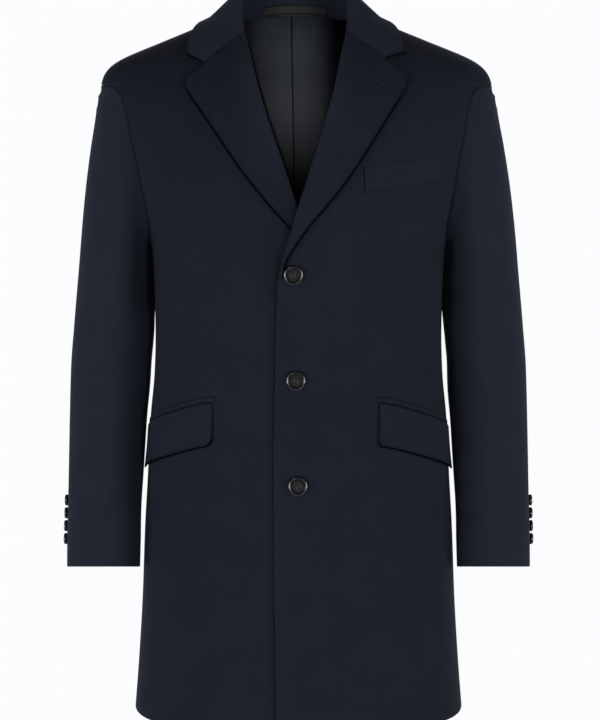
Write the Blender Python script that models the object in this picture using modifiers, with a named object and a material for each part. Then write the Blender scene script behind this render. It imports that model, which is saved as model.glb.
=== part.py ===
"""Man's single-breasted wool overcoat, filled out as when worn but empty.

Every piece that a maker cuts and sews on is one object: two fronts, two lapels,
two backs, two-piece sleeves, collar, pocket flaps with their jets, chest welt,
back lining, hanger loop and buttons. Cloth is a thin wall on a smooth body form.
X runs to the wearer's left, Y to the back, Z up; the origin is the middle of the
neck at the height of the neck seam. Metres throughout.
"""

import math

import bmesh
import bpy
import numpy as np
from mathutils import Matrix

# ------------------------------------------------------------------ cloth and gaps
CLOTH = 0.0022  # body cloth
FACED = 0.0024  # lapel and collar: cloth with its facing
FLAP_WALL = 0.0026
JET_WALL = 0.0014
LINING_WALL = 0.0010
SEAM = 0.0003  # half of the gap along a seam
OVERLAP_LIFT = 0.0036  # the left front lies this far out over the right one
CROSSING_LIFT = 0.0050  # and this much more where it crosses the right lapel

# ------------------------------------------------------------------ the body form
# Level sections of the coat, hem to neck. Each is a rounded oval: half its width, its
# depth before and behind the side seams, and how square its corners are (2 is an ellipse).
BODY_COLUMNS = ("z", "half_width", "front_depth", "back_depth", "roundness")
BODY = (
    (-0.898, 0.2153, 0.1500, 0.1400, 2.50),  # hem
    (-0.834, 0.2101, 0.1475, 0.1375, 2.50),
    (-0.753, 0.2048, 0.1445, 0.1330, 2.50),
    (-0.652, 0.2005, 0.1410, 0.1265, 2.50),  # seat
    (-0.592, 0.1967, 0.1385, 0.1215, 2.50),
    (-0.512, 0.1924, 0.1355, 0.1110, 2.45),  # pockets
    (-0.453, 0.1867, 0.1330, 0.1020, 2.45),
    (-0.404, 0.1851, 0.1320, 0.0980, 2.40),  # waist
    (-0.350, 0.1860, 0.1335, 0.0985, 2.40),
    (-0.295, 0.1886, 0.1375, 0.1040, 2.35),  # armpit
    (-0.253, 0.1985, 0.1395, 0.1095, 2.35),
    (-0.200, 0.2190, 0.1385, 0.1150, 2.30),  # chest
    (-0.160, 0.2330, 0.1340, 0.1170, 2.30),
    (-0.127, 0.2440, 0.1260, 0.1165, 2.30),
    (-0.090, 0.2510, 0.1120, 0.1130, 2.30),
    (-0.070, 0.2460, 0.1005, 0.1080, 2.30),
    (-0.0546, 0.2312, 0.0910, 0.1040, 2.30),  # shoulder tip
    (-0.037, 0.1892, 0.0770, 0.0980, 2.30),
    (-0.0217, 0.1518, 0.0630, 0.0910, 2.30),
    (-0.0065, 0.1145, 0.0490, 0.0820, 2.25),
    (0.010, 0.0810, 0.0330, 0.0660, 2.20),  # neck point
    (0.030, 0.0340, 0.0150, 0.0300, 2.00),
    (0.044, 0.0050, 0.0050, 0.0050, 2.00),
)
FORM_STEP = 0.001
FORM_BLUR = 7  # in steps
HEM_Z = -0.898
NECK_POINT_Z = 0.009
NECK_SEAM_Z = 0.001  # at the centre back
COLLAR_LEAN = -0.0042  # the neck sits this far to the wearer's right of the hem's middle
LEAN_FROM_Z = -0.30

# Armhole: an oval on the body form, from the shoulder tip to the armpit.
ARM_TIP_Z, ARM_PIT_Z = -0.0830, -0.2850
ARM_OPEN, ARM_EGG, ARM_CROWN = 0.487, 0.17, 0.13  # how far round from the side it reaches, in radians of the section: at mid height, and more towards the tip
ARM_PARTS = 8  # rows from tip to pit
ARM_INSET = 0.0016  # the sleeve's own edge lies this far inside the oval

# Front edge of the left front, which runs on into the roll line of its lapel.
EDGE_COLUMNS = ("z", "x")
EDGE = (
    (-0.900, -0.0290),
    (-0.776, -0.0304),
    (-0.673, -0.0317),
    (-0.531, -0.0319),
    (-0.447, -0.0302),
    (-0.328, -0.0267),  # top button
    (-0.297, -0.0205),
    (-0.262, -0.0095),
    (-0.231, 0.0005),
    (-0.200, 0.0116),
    (-0.167, 0.0228),
    (-0.123, 0.0377),
    (-0.082, 0.0498),
    (-0.036, 0.0609),
    (-0.0214, 0.0655),
    (-0.0045, 0.0738),
    (0.010, 0.0792),
)
UNDERLAP_X = -0.0300  # mirrored: how far the right front reaches under the left one

# Lapel: from the gorge seam down to where it runs out above the top button.
LAPEL_COLUMNS = ("roll_z", "edge_z", "edge_x")
LAPEL = (
    (-0.0214, -0.0723, 0.1407),  # gorge seam and lapel point
    (-0.0360, -0.0850, 0.1363),
    (-0.0560, -0.1010, 0.1263),
    (-0.0800, -0.1226, 0.1120),
    (-0.1100, -0.1500, 0.0938),
    (-0.1450, -0.1832, 0.0710),
    (-0.1850, -0.2208, 0.0415),
    (-0.2300, -0.2600, 0.0085),
    (-0.2780, -0.2969, -0.0143),
    (-0.3120, -0.3180, -0.0222),
)
LAPEL_RISE = 0.0052  # inner face over the body at the roll
LAPEL_LIE = 0.0038  # and at the free edge
LAPEL_TUCK = 0.0024  # the right one is pressed this much flatter where it goes under the left front
RIGHT_LAPEL_END = 0.785  # the rest of the right lapel is hidden under the left front
LAPEL_DROP = {"left": 0.0, "right": 0.0050}  # the right lapel's point hangs this much lower
NOTCH_SHARE = {"left": 0.59, "right": 0.65}  # the notch's corner, along the lapel's top edge from the roll to the point
COLLAR_TIP = {"left": (0.1373, -0.0455), "right": (0.1373, -0.0465)}  # x, z

# Collar: sections from the centre back to the front end. neck is the foot of the
# stand, roll the top fold, edge the free lower edge of the fall.
COLLAR_COLUMNS = ("neck_x", "neck_y", "neck_z", "roll_x", "roll_y", "roll_z", "edge_x", "edge_y", "edge_z")
COLLAR = (
    (0.0000, 0.0680, 0.0025, 0.0000, 0.0640, 0.0440, 0.0000, 0.0960, -0.0170),
    (0.0300, 0.0610, 0.0040, 0.0290, 0.0580, 0.0442, 0.0480, 0.0880, -0.0165),
    (0.0540, 0.0420, 0.0075, 0.0515, 0.0415, 0.0446, 0.0890, 0.0620, -0.0130),
    (0.0690, 0.0190, 0.0110, 0.0645, 0.0200, 0.0440, 0.1112, 0.0300, -0.0060),
    (0.0745, -0.0040, 0.0085, 0.0690, -0.0060, 0.0360, 0.1215, -0.0040, -0.0085),
    (0.0708, -0.0350, -0.0035, 0.0682, -0.0335, 0.0105, 0.1290, -0.0300, -0.0200),
    (0.0630, -0.0540, -0.0185, 0.0640, -0.0600, -0.0170, 0.1330, -0.0560, -0.0320),
)
COLLAR_LIE = 0.0050  # outer face over the body
COLLAR_CROWN = 0.0010  # of the fall, at the centre back
GORGE_GAP = 0.0009  # seam between collar and lapel

# Sleeve: rings from the armhole to the cuff. Each goes through an outer and an inner
# point, inner_gap clear of the body, with a depth to front and back and a forward tilt.
SLEEVE_COLUMNS = ("outer_x", "outer_z", "inner_gap", "inner_z", "half_depth", "mid_y", "tilt")
SLEEVE = (
    (0.2500, -0.0830, 0.0010, -0.2856, 0.0680, -0.0050, 0.0),  # armhole
    (0.2513, -0.0852, 0.0010, -0.2866, 0.0683, -0.0048, 0.0),
    (0.2532, -0.0925, 0.0010, -0.2885, 0.0688, -0.0040, 0.0),
    (0.2560, -0.1075, 0.0011, -0.2920, 0.0694, -0.0030, 0.0),
    (0.2592, -0.1288, 0.0011, -0.2975, 0.0700, -0.0015, 0.0),
    (0.2660, -0.1680, 0.0011, -0.3040, 0.0704, 0.0000, 0.0),
    (0.2722, -0.2080, 0.0012, -0.3120, 0.0704, 0.0015, 0.0),
    (0.2785, -0.2600, 0.0012, -0.3260, 0.0700, 0.0030, 0.0),
    (0.2850, -0.3280, 0.0013, -0.3520, 0.0688, 0.0045, 1.0),
    (0.2913, -0.3941, 0.0013, -0.3960, 0.0668, 0.0050, 3.0),
    (0.2960, -0.4531, 0.0043, -0.4531, 0.0640, 0.0025, 6.0),
    (0.2980, -0.5323, 0.0047, -0.5323, 0.0588, -0.0080, 9.5),
    (0.2992, -0.6119, 0.0054, -0.6119, 0.0530, -0.0235, 12.0),
    (0.3003, -0.6700, 0.0034, -0.6700, 0.0490, -0.0365, 12.8),
    (0.3003, -0.7046, 0.0028, -0.7046, 0.0470, -0.0440, 12.8),  # cuff
)
SLEEVE_SETTLE = 5  # rows over which the ring leaves the armhole's own shape
HIND_SEAM = (-90.0, -14.0)  # degrees round the sleeve, at armhole and cuff: 0 is outer, 90 front
FORE_SEAM = (157.5, 162.0)

# Pockets, by length round the body and depth. top is the upper front corner.
FLAP_LENGTH, FLAP_DEPTH, FLAP_STAND = 0.146, 0.056, 0.0010
FLAP_SLOPE, FLAP_HEEL = 0.340, 0.0120
FLAP_CORNER = {"left": 0.004, "right": 0.010}  # radius of the lower front corner
FLAP_LIE = 0.0040
FLAP_TOP_Z = -0.4770
FLAP_FRONT_X = {"left": 0.1005, "right": 0.1080}
JET_HEIGHT, JET_OVERRUN, JET_LIE = 0.0076, 0.003, 0.0022
WELT_X, WELT_TOP_Z, WELT_LENGTH, WELT_HEIGHT, WELT_SLOPE, WELT_LIE = 0.0814, -0.1800, 0.104, 0.0318, 0.104, 0.0036

# Back lining, as far down as it shows, and the loop at the neck.
LINING_LOW_Z, LINING_TOP_Z, LINING_GAP, LINING_PLEAT = -0.350, -0.0030, 0.0040, 0.006
LINING_SIDE = 0.60  # stops this far round from the side
LOOP_LENGTH, LOOP_WIDTH, LOOP_WALL, LOOP_Z, LOOP_ARCH = 0.082, 0.0106, 0.0016, 0.0080, 0.0034
LOOP_CLEAR, LOOP_BOW = 0.0052, 0.0080  # in front of the collar stand at its ends, and more in the middle
NECK_CURVE = 8.6  # of the stand's inside at the centre back, per metre

# Buttons.
FRONT_BUTTON_D, FRONT_BUTTON_H = 0.0245, 0.0044
CUFF_BUTTON_D, CUFF_BUTTON_H = 0.0150, 0.0034
BUTTON_SHANK = 0.0006
FRONT_BUTTONS = ((-0.0061, -0.3120), (-0.0031, -0.4465), (-0.0006, -0.5796))  # x, z
CUFF_BUTTON_LOW_Z, CUFF_BUTTON_PITCH, CUFF_BUTTON_TURN = -0.6700, 0.0163, -6.0

COLOURS = {  # base colour, roughness
    "wool": ((0.012, 0.014, 0.022, 1.0), 0.85),
    "lining": ((0.022, 0.023, 0.028, 1.0), 0.45),
    "loop": ((0.020, 0.021, 0.025, 1.0), 0.5),
    "button": ((0.012, 0.012, 0.014, 1.0), 0.3),
}


# ------------------------------------------------------------------ the form's surface
def column(table, columns, name):
    return np.array([row[columns.index(name)] for row in table], float)


def through(xs, ys, x):
    """Cubic through the rows of a table that never overshoots them, straight on past both ends."""
    h = np.diff(xs)
    d = np.diff(ys) / h
    m = np.concatenate(([d[0]], np.zeros(len(xs) - 2), [d[-1]]))
    for i in range(1, len(xs) - 1):
        if d[i - 1] * d[i] > 0:
            w1, w2 = 2 * h[i] + h[i - 1], h[i] + 2 * h[i - 1]
            m[i] = (w1 + w2) / (w1 / d[i - 1] + w2 / d[i])
    x = np.asarray(x, float)
    inside = np.clip(x, xs[0], xs[-1])
    i = np.clip(np.searchsorted(xs, inside, side="right") - 1, 0, len(xs) - 2)
    s = (inside - xs[i]) / h[i]
    y = (
        ys[i] * (1 + 2 * s) * (1 - s) ** 2
        + m[i] * h[i] * s * (1 - s) ** 2
        + ys[i + 1] * s * s * (3 - 2 * s)
        + m[i + 1] * h[i] * s * s * (s - 1)
    )
    return y + np.where(x < xs[0], m[0], m[-1]) * (x - inside)


FORM_Z = np.arange(-0.960, 0.0601, FORM_STEP)


def softened(name):
    """One size of the body against height, on a fine even grid, with the joins between rows blurred."""
    raw = through(column(BODY, BODY_COLUMNS, "z"), column(BODY, BODY_COLUMNS, name), FORM_Z)
    reach = 3 * FORM_BLUR
    kernel = np.exp(-0.5 * (np.arange(-reach, reach + 1) / FORM_BLUR) ** 2)
    padded = np.pad(raw, reach, mode="reflect", reflect_type="odd")
    return np.convolve(padded, kernel / kernel.sum(), mode="valid")


FORM = {name: softened(name) for name in BODY_COLUMNS[1:]}
FORM_SLOPE = {name: np.gradient(values, FORM_STEP) for name, values in FORM.items()}


def size(name, z):
    return np.interp(z, FORM_Z, FORM[name])


def slope(name, z):
    return np.interp(z, FORM_Z, FORM_SLOPE[name])


def smoothstep(low, high, x):
    s = np.clip((np.asarray(x, float) - low) / (high - low), 0, 1)
    return s * s * (3 - 2 * s)


def outward(p):
    """Unit normal of the body's surface through p, and p's distance outside the body."""
    x, y, z = p[..., 0], p[..., 1], p[..., 2]
    a, n = size("half_width", z), size("roundness", z)
    front = y < 0
    b = np.where(front, size("front_depth", z), size("back_depth", z))
    a_z = slope("half_width", z)
    b_z = np.where(front, slope("front_depth", z), slope("back_depth", z))
    u, v = np.abs(x) / a, np.abs(y) / b
    level = np.maximum(u**n + v**n, 1e-9)
    k = level ** (1 / n - 1)
    g = np.stack(
        (
            k * u ** (n - 1) * np.sign(x) / a,
            k * v ** (n - 1) * np.sign(y) / b,
            -k * (u**n * a_z / a + v**n * b_z / b),
        ),
        -1,
    )
    length = np.maximum(np.linalg.norm(g, axis=-1), 1e-9)
    return g / length[..., None], (level ** (1 / n) - 1) / length


def torso(t, z, lift=0.0, back=False):
    """Point of the body's surface at height z. t is 0 at the side and 90 degrees at the middle."""
    t, z = np.broadcast_arrays(np.asarray(t, float), np.asarray(z, float))
    n = size("roundness", z)
    c, s = np.cos(t), np.abs(np.sin(t))
    x = size("half_width", z) * np.sign(c) * np.abs(c) ** (2 / n)
    depth = size("back_depth", z) if back else -size("front_depth", z)
    p = np.stack((x, depth * s ** (2 / n), z), -1)
    return p + outward(p)[0] * np.asarray(lift)[..., None]


def t_at(x, z):
    """The t of the point that is x from the middle at height z."""
    ratio = np.clip(np.asarray(x, float) / size("half_width", z), -1, 1)
    return np.arccos(np.sign(ratio) * np.abs(ratio) ** (size("roundness", z) / 2))


def clear_of_body(p, gap, onto=False):
    """p moved out until it is gap clear of the body, or exactly that far if onto."""
    for _ in range(6):
        out, distance = outward(p)
        short = np.asarray(gap) - distance
        p = p + out * (short if onto else np.maximum(short, 0))[..., None]
    return p


def mirrored(p):
    return p * np.array((-1.0, 1.0, 1.0))


def leaned(p):
    """The whole coat's slight sideways lean above the waist."""
    rise = np.clip((p[..., 2] - LEAN_FROM_Z) / -LEAN_FROM_Z, 0, 1.2)
    return p + np.stack((COLLAR_LEAN * rise**1.5, 0 * rise, 0 * rise), -1)


# ------------------------------------------------------------------ panels
def armhole_reach(c, grow):
    """How far the armhole goes round the body; c is 1 at the tip, where it is squarer, and -1 at the pit."""
    square = 0.5 - 0.37 * smoothstep(0.0, 0.6, c)
    return (ARM_OPEN + ARM_EGG * c + ARM_CROWN * np.minimum(c, 0) ** 2 + grow / 0.11) * np.clip(1 - c * c, 0, 1) ** square


def armhole_t(z, grow=0.0):
    middle, half = (ARM_TIP_Z + ARM_PIT_Z) / 2, (ARM_TIP_Z - ARM_PIT_Z) / 2
    return armhole_reach(np.clip((z - middle) / (half + grow), -1, 1), grow)


def armhole_heights(parts):
    middle, half = (ARM_TIP_Z + ARM_PIT_Z) / 2, (ARM_TIP_Z - ARM_PIT_Z) / 2
    return middle - (half + SEAM) * np.cos(np.linspace(0, math.pi, parts + 1))


PANEL_Z = np.concatenate(
    (
        (HEM_Z, HEM_Z + 0.004, -0.795, -0.690, -0.590, -0.510, -0.450, -0.400, -0.350, -0.310),
        armhole_heights(ARM_PARTS),
        (-0.0700, -0.0570, -0.0440, -0.0280, -0.0120, -0.0020),
    )
)


def fractions(parts, narrow):
    """0 to 1 in even parts, with a narrow one at each end so that a wall's edge is square."""
    return np.concatenate(([0.0], np.linspace(narrow, 1 - narrow, parts - 1), [1.0]))


def seam_fractions(parts, narrow):
    """0 to 1 in even parts, with a narrow one added inside each end so that a wall's edge is square."""
    even = np.linspace(0, 1, parts + 1)
    return np.concatenate(([0.0, narrow / parts], even[1:-1], [1 - narrow / parts, 1.0]))


def edge_x(z):
    return through(column(EDGE, EDGE_COLUMNS, "z"), column(EDGE, EDGE_COLUMNS, "x"), z)


def left_lift(x, z):
    """How far the left front stands out over the right one."""
    near = 1 - smoothstep(0.045, 0.130, x)
    below = 1 - smoothstep(-0.225, -0.130, z)
    crossing = smoothstep(-0.360, -0.320, z) * (1 - smoothstep(-0.230, -0.150, z))
    return (OVERLAP_LIFT * below + CROSSING_LIFT * crossing) * near


def front_panel(side, z, across):
    """Rows of the front from its inner edge to the side seam, the armhole or the shoulder."""
    z = np.append(z, NECK_POINT_Z)[:, None]
    inner = edge_x(z)
    if side == "right":
        inner = np.where(z < -0.30, np.minimum(inner, UNDERLAP_X), inner)
    t_in = t_at(inner, z)
    t_out = armhole_t(z, SEAM) + SEAM / 0.13
    t = t_in + (t_out - t_in) * across[None, :]
    z = np.broadcast_to(z, t.shape)
    flat = torso(t, z)
    lift = left_lift(flat[..., 0], z) if side == "left" else 0 * z
    return torso(t, z, lift)


def back_panel(z, across):
    z = np.append(z[z < NECK_SEAM_Z], (NECK_SEAM_Z, 0.0045, NECK_POINT_Z - 0.0015))[:, None]
    neck_x = 0.072 * np.sqrt(np.clip((z - NECK_SEAM_Z) / (NECK_POINT_Z - NECK_SEAM_Z), 0, 1))
    inner = np.maximum(neck_x, SEAM)
    t_in = t_at(inner, z)
    t_out = armhole_t(z, SEAM) + SEAM / 0.10
    t = t_in + (t_out - t_in) * across[None, :]
    return torso(t, np.broadcast_to(z, t.shape), back=True)


def lapel_row(fraction, side):
    """Roll point and edge point of the lapel at a fraction of its length from the gorge."""
    rows = np.linspace(0, 1, len(LAPEL))
    roll_z = through(rows, column(LAPEL, LAPEL_COLUMNS, "roll_z"), fraction)
    end_z = through(rows, column(LAPEL, LAPEL_COLUMNS, "edge_z"), fraction)
    end_x = through(rows, column(LAPEL, LAPEL_COLUMNS, "edge_x"), fraction)
    return roll_z, end_x, end_z - LAPEL_DROP[side] * (1 - smoothstep(0.0, 0.45, fraction))


def notch_corner(side):
    roll_z, end_x, end_z = (float(v) for v in lapel_row(0.0, side))
    roll_x = float(edge_x(roll_z))
    return roll_x + (end_x - roll_x) * NOTCH_SHARE[side], roll_z + (end_z - roll_z) * NOTCH_SHARE[side]


ROLL_COLUMNS = ("along", "over")  # in the surface away from the opening, and out of it
ROLL = ((-0.0029, -0.0016), (-0.0034, 0.0012), (-0.0022, 0.0040), (0.0010, 0.0052))


def lapel(side, downs, acrosses):
    """The turned-back lapel: round the edge of the front and out over the chest."""
    rows = []
    for fraction in downs:
        roll_z, end_x, end_z = (float(v) for v in lapel_row(fraction, side))
        roll_x = float(edge_x(roll_z))
        width = math.hypot(end_x - roll_x, end_z - roll_z)
        tuck = smoothstep(0.40, 0.62, fraction) if side == "right" else 0.0
        rise = LAPEL_RISE - LAPEL_TUCK * tuck
        lie = LAPEL_LIE - 0.0004 * tuck
        row = []
        for along, over in ROLL:
            share = along / width
            x, z = roll_x + (end_x - roll_x) * share, roll_z + (end_z - roll_z) * share
            lift = over * (rise / ROLL[-1][1] if over > 0 else 1)
            row.append((x, z, lift))
        start = ROLL[-1][0] / width
        for across in acrosses:
            share = start + (1 - start) * across
            row.append((
                roll_x + (end_x - roll_x) * share,
                roll_z + (end_z - roll_z) * share,
                rise + (lie - rise) * across,
            ))
        rows.append(row)
    grid = np.array(rows)
    x, z, lift = grid[..., 0], grid[..., 1], grid[..., 2]
    if side == "left":
        lift = lift + left_lift(x, z)
    return torso(t_at(x, z), z, lift)


def collar(arounds, fall_parts):
    """Stand, roll and fall, swept from the right front end round the back to the left one."""
    rows = np.linspace(0, 1, len(COLLAR))
    both = np.concatenate((-rows[:0:-1], rows))

    def swept(name, s):
        values = column(COLLAR, COLLAR_COLUMNS, name)
        sign = -1 if name.endswith("_x") else 1
        return through(both, np.concatenate((sign * values[:0:-1], values)), s)

    grid = []
    for s in arounds:
        neck, roll, edge = (np.array([float(swept(f"{part}_{axis}", s)) for axis in "xyz"]) for part in ("neck", "roll", "edge"))
        end = abs(s) > 0.999
        out = edge - roll
        out = out / np.linalg.norm(out)
        inside = roll - 0.0022 * np.array((out[0], out[1], 0.0)) + np.array((0, 0, -0.0030))
        if end:
            row = gorge_roll("left" if s > 0 else "right")
        else:
            row = [neck, (neck + inside) / 2 + (inside - neck) * 0.05, inside, roll, roll + 0.0032 * out + np.array((0, 0, 0.0004))]
        shoulder = row[-1]
        for part in range(1, fall_parts + 1):
            share = part / fall_parts
            if end:
                p = front_end_of_collar(shoulder, share, "left" if s > 0 else "right")
            else:
                p = shoulder + (edge - shoulder) * share + np.array((0, 0, COLLAR_CROWN)) * share * (1 - share) * 4 * (1 - abs(s))
            row.append(p)
        grid.append(row)
    grid = np.array(grid)
    fall = grid[:, 5:]
    grid[:, 5:] = clear_of_body(fall, COLLAR_LIE)
    grid[:, -1] = clear_of_body(grid[:, -1], COLLAR_LIE, onto=True)
    return grid


def gorge_roll(side):
    """The collar's front end where it turns over the edge of the front, beside the lapel."""
    roll_z = LAPEL[0][0]
    roll_x = float(edge_x(roll_z))
    corner_x, corner_z = notch_corner(side)
    reach = np.array((corner_x - roll_x, corner_z - roll_z))
    along = reach / np.linalg.norm(reach)
    beside = np.array((-along[1], along[0])) * GORGE_GAP
    row = []
    for a, over in (ROLL[0], ((ROLL[0][0] + ROLL[1][0]) / 2, (ROLL[0][1] + ROLL[1][1]) / 2), ROLL[1], ROLL[2], ROLL[3]):
        x, z = roll_x + along[0] * a + beside[0], roll_z + along[1] * a + beside[1]
        row.append(torso(t_at(x, z), z, over) * (1 if side == "left" else -1, 1, 1))
    return row


def front_end_of_collar(start, share, side):
    """Along the gorge seam to the notch, then out to the collar's tip."""
    across = (1 if side == "left" else -1, 1, 1)
    corner_x, corner_z = notch_corner(side)
    corner_z += GORGE_GAP
    corner = torso(t_at(corner_x, corner_z), corner_z, COLLAR_LIE) * across
    tip_x, tip_z = COLLAR_TIP[side]
    tip = torso(t_at(tip_x, tip_z), tip_z, COLLAR_LIE) * across
    bend = 0.68
    if share <= bend:
        return start + (corner - start) * share / bend
    return corner + (tip - corner) * (share - bend) / (1 - bend)


def armhole_ring(angles):
    """The armhole's own loop, by angle: 0 at the tip, 90 at the front, 180 at the pit."""
    middle, half = (ARM_TIP_Z + ARM_PIT_Z) / 2, (ARM_TIP_Z - ARM_PIT_Z) / 2
    z = middle + (half - ARM_INSET) * np.cos(angles)
    t = armhole_reach(np.cos(angles), -ARM_INSET)
    return np.where((np.sin(angles) >= 0)[:, None], torso(t, z), torso(t, z, back=True))


def sleeve_ring(row, angles):
    """Ring of the sleeve at a row of its table, which may lie between two rows."""
    rows = np.arange(len(SLEEVE))
    outer_x, outer_z, gap, inner_z, depth, mid_y, tilt = (through(rows, column(SLEEVE, SLEEVE_COLUMNS, name), row) for name in SLEEVE_COLUMNS)
    inner_x = size("half_width", inner_z) + gap
    middle = np.array(((outer_x + inner_x) / 2, mid_y, (outer_z + inner_z) / 2))
    reach = np.array(((outer_x - inner_x) / 2, 0, (outer_z - inner_z) / 2))
    lean = math.radians(float(tilt))
    forward = np.array((0, -math.cos(lean), math.sin(lean))) * depth
    return middle + np.cos(angles)[:, None] * reach + np.sin(angles)[:, None] * forward


def sleeve_row_at(z, angle):
    """The row of the lower sleeve's table that is at height z, at an angle round the sleeve."""
    rows = np.linspace(8, len(SLEEVE) - 1, 200)
    heights = np.array([sleeve_ring(row, np.array((angle,)))[0, 2] for row in rows])
    return float(np.interp(-z, -heights, rows))


def sleeve_angles(row, fraction, upper):
    """Angles across the top sleeve or the under sleeve, whose seams turn on the way down."""
    down = row / (len(SLEEVE) - 1)
    hind = math.radians(HIND_SEAM[0] + (HIND_SEAM[1] - HIND_SEAM[0]) * smoothstep(0, 1, down))
    fore = math.radians(FORE_SEAM[0] + (FORE_SEAM[1] - FORE_SEAM[0]) * down)
    gap = SEAM / 0.035
    if upper:
        return hind + gap + (fore - hind - 2 * gap) * fraction
    return fore + gap + (hind + 2 * math.pi - fore - 2 * gap) * fraction


def sleeve(upper, rows, fraction):
    grid = []
    for row in rows:
        angles = sleeve_angles(row, fraction, upper)
        ring = sleeve_ring(row, angles)
        stay = max(0.0, 1 - row / SLEEVE_SETTLE) ** 2
        grid.append(ring + stay * (armhole_ring(angles) - sleeve_ring(0, angles)))
    return np.array(grid)


# ------------------------------------------------------------------ what lies on the panels
def round_from(x_start, z, lengths):
    """t after going a length round the body from x_start towards the side, at height z."""
    t = np.linspace(t_at(x_start, z), 0.0, 160)
    p = torso(t, np.full_like(t, z))
    run = np.concatenate(([0], np.cumsum(np.linalg.norm(np.diff(p, axis=0), axis=1))))
    return np.interp(lengths, run, t)


def patch(x_start, top_z, alongs, downs, slant, lie, lift=None, depth=None):
    """Grid on the front: alongs go round the body, downs go down it, slant(along) drops the line.

    With depth(along), downs are shares of it."""
    grid = []
    for down in downs:
        row = []
        for along in alongs:
            drop = down if depth is None else down * depth(along)
            z = top_z - slant(along) - drop
            t = float(round_from(x_start, z, along))
            p = torso(t, z)
            extra = 0.0 if lift is None else float(lift(p[0], z))
            row.append(torso(t, z, lie(along, drop) + extra))
        grid.append(row)
    return np.array(grid)


def flap_slant(along):
    """Drop of the pocket's line: level at its front corner, then slanting down to the side."""
    run = max(along, 0.0)
    return FLAP_SLOPE * (run - FLAP_HEEL * (1 - math.exp(-run / FLAP_HEEL)))


def flap(side, alongs, downs):
    def lie(along, down):
        return FLAP_LIE + FLAP_STAND * (down / FLAP_DEPTH) ** 2

    def depth(along):
        short = max(FLAP_CORNER[side] - along, 0.0)
        return FLAP_DEPTH - FLAP_CORNER[side] + math.sqrt(FLAP_CORNER[side] ** 2 - short**2)

    return patch(FLAP_FRONT_X[side], FLAP_TOP_Z, alongs, downs, flap_slant, lie, left_lift if side == "left" else None, depth)


def flap_columns(side):
    corner = FLAP_CORNER[side] * (1 - np.cos(np.linspace(0, math.pi / 2, 3)))
    return np.concatenate((corner[:2], np.linspace(corner[2], FLAP_LENGTH, 7)))


def jet(side, alongs):
    return patch(FLAP_FRONT_X[side] - JET_OVERRUN, FLAP_TOP_Z, alongs, np.array((-JET_HEIGHT, -0.0012)), lambda along: flap_slant(along - JET_OVERRUN),
                 lambda along, down: JET_LIE, left_lift if side == "left" else None)


def welt(alongs, downs):
    return patch(WELT_X, WELT_TOP_Z, alongs, downs * WELT_HEIGHT, lambda along: -WELT_SLOPE * along,
                 lambda along, down: WELT_LIE, left_lift)


def back_lining(downs, acrosses):
    """Half of the lining, inside the back, with the fold of its centre pleat standing in."""
    z = (LINING_TOP_Z + (LINING_LOW_Z - LINING_TOP_Z) * downs)[:, None]
    t = math.pi / 2 - 0.004 + (LINING_SIDE - math.pi / 2 + 0.004) * acrosses[None, :]
    t, z = np.broadcast_arrays(t, z)
    p = torso(t, z, back=True)
    fold = np.exp(-np.abs(p[..., 0]) / LINING_PLEAT)
    return torso(t, z, -(CLOTH + LINING_GAP) - 0.0025 * fold, back=True)


def hanger_loop(alongs):
    """Band across the back neck, arched up between its two ends."""
    rows = []
    for edge in (-0.5, 0.5):
        row = []
        for along in alongs:
            x = LOOP_LENGTH * along
            z = LOOP_Z + LOOP_WIDTH * edge + LOOP_ARCH * (1 - (2 * along) ** 2)
            y = COLLAR[0][1] - LOOP_CLEAR - NECK_CURVE * x * x - LOOP_BOW * (1 - (2 * along) ** 2)
            row.append((x, y, z))
        rows.append(row)
    return np.array(rows)


# ------------------------------------------------------------------ making objects
def start_over():
    for old in list(bpy.data.objects):
        bpy.data.objects.remove(old, do_unlink=True)


def material(name):
    made = bpy.data.materials.get(name)
    if made is None:
        made = bpy.data.materials.new(name)
        made.use_nodes = True
        shader = made.node_tree.nodes["Principled BSDF"]
        shader.inputs["Base Color"].default_value = COLOURS[name][0]
        shader.inputs["Roughness"].default_value = COLOURS[name][1]
        shader.inputs["Metallic"].default_value = 0.0
    return made


def put(name, mesh, slot, collection):
    mesh.materials.append(material(slot))
    obj = bpy.data.objects.new(name, mesh)
    collection.objects.link(obj)
    return obj


def wall(name, grid, thickness, slot, collection, turn=False):
    """Cloth wall: a grid moved onto the outer face and given its thickness inwards."""
    rows, cols = grid.shape[:2]
    points = leaned(grid)
    bm = bmesh.new()
    bmesh.ops.create_grid(bm, x_segments=cols - 1, y_segments=rows - 1, size=1.0)
    for vert in bm.verts:
        i = round((vert.co.y + 1) / 2 * (rows - 1))
        j = round((vert.co.x + 1) / 2 * (cols - 1))
        vert.co = points[i, j]
    if turn:
        bmesh.ops.reverse_faces(bm, faces=bm.faces[:])
    bmesh.ops.triangulate(bm, faces=bm.faces[:], quad_method="SHORT_EDGE")
    for face in bm.faces:
        face.smooth = True
    mesh = bpy.data.meshes.new(name)
    bm.to_mesh(mesh)
    bm.free()
    obj = put(name, mesh, slot, collection)
    solid = obj.modifiers.new("wall", "SOLIDIFY")
    solid.thickness = thickness
    solid.offset = -1.0
    solid.use_rim = True
    return obj


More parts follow.
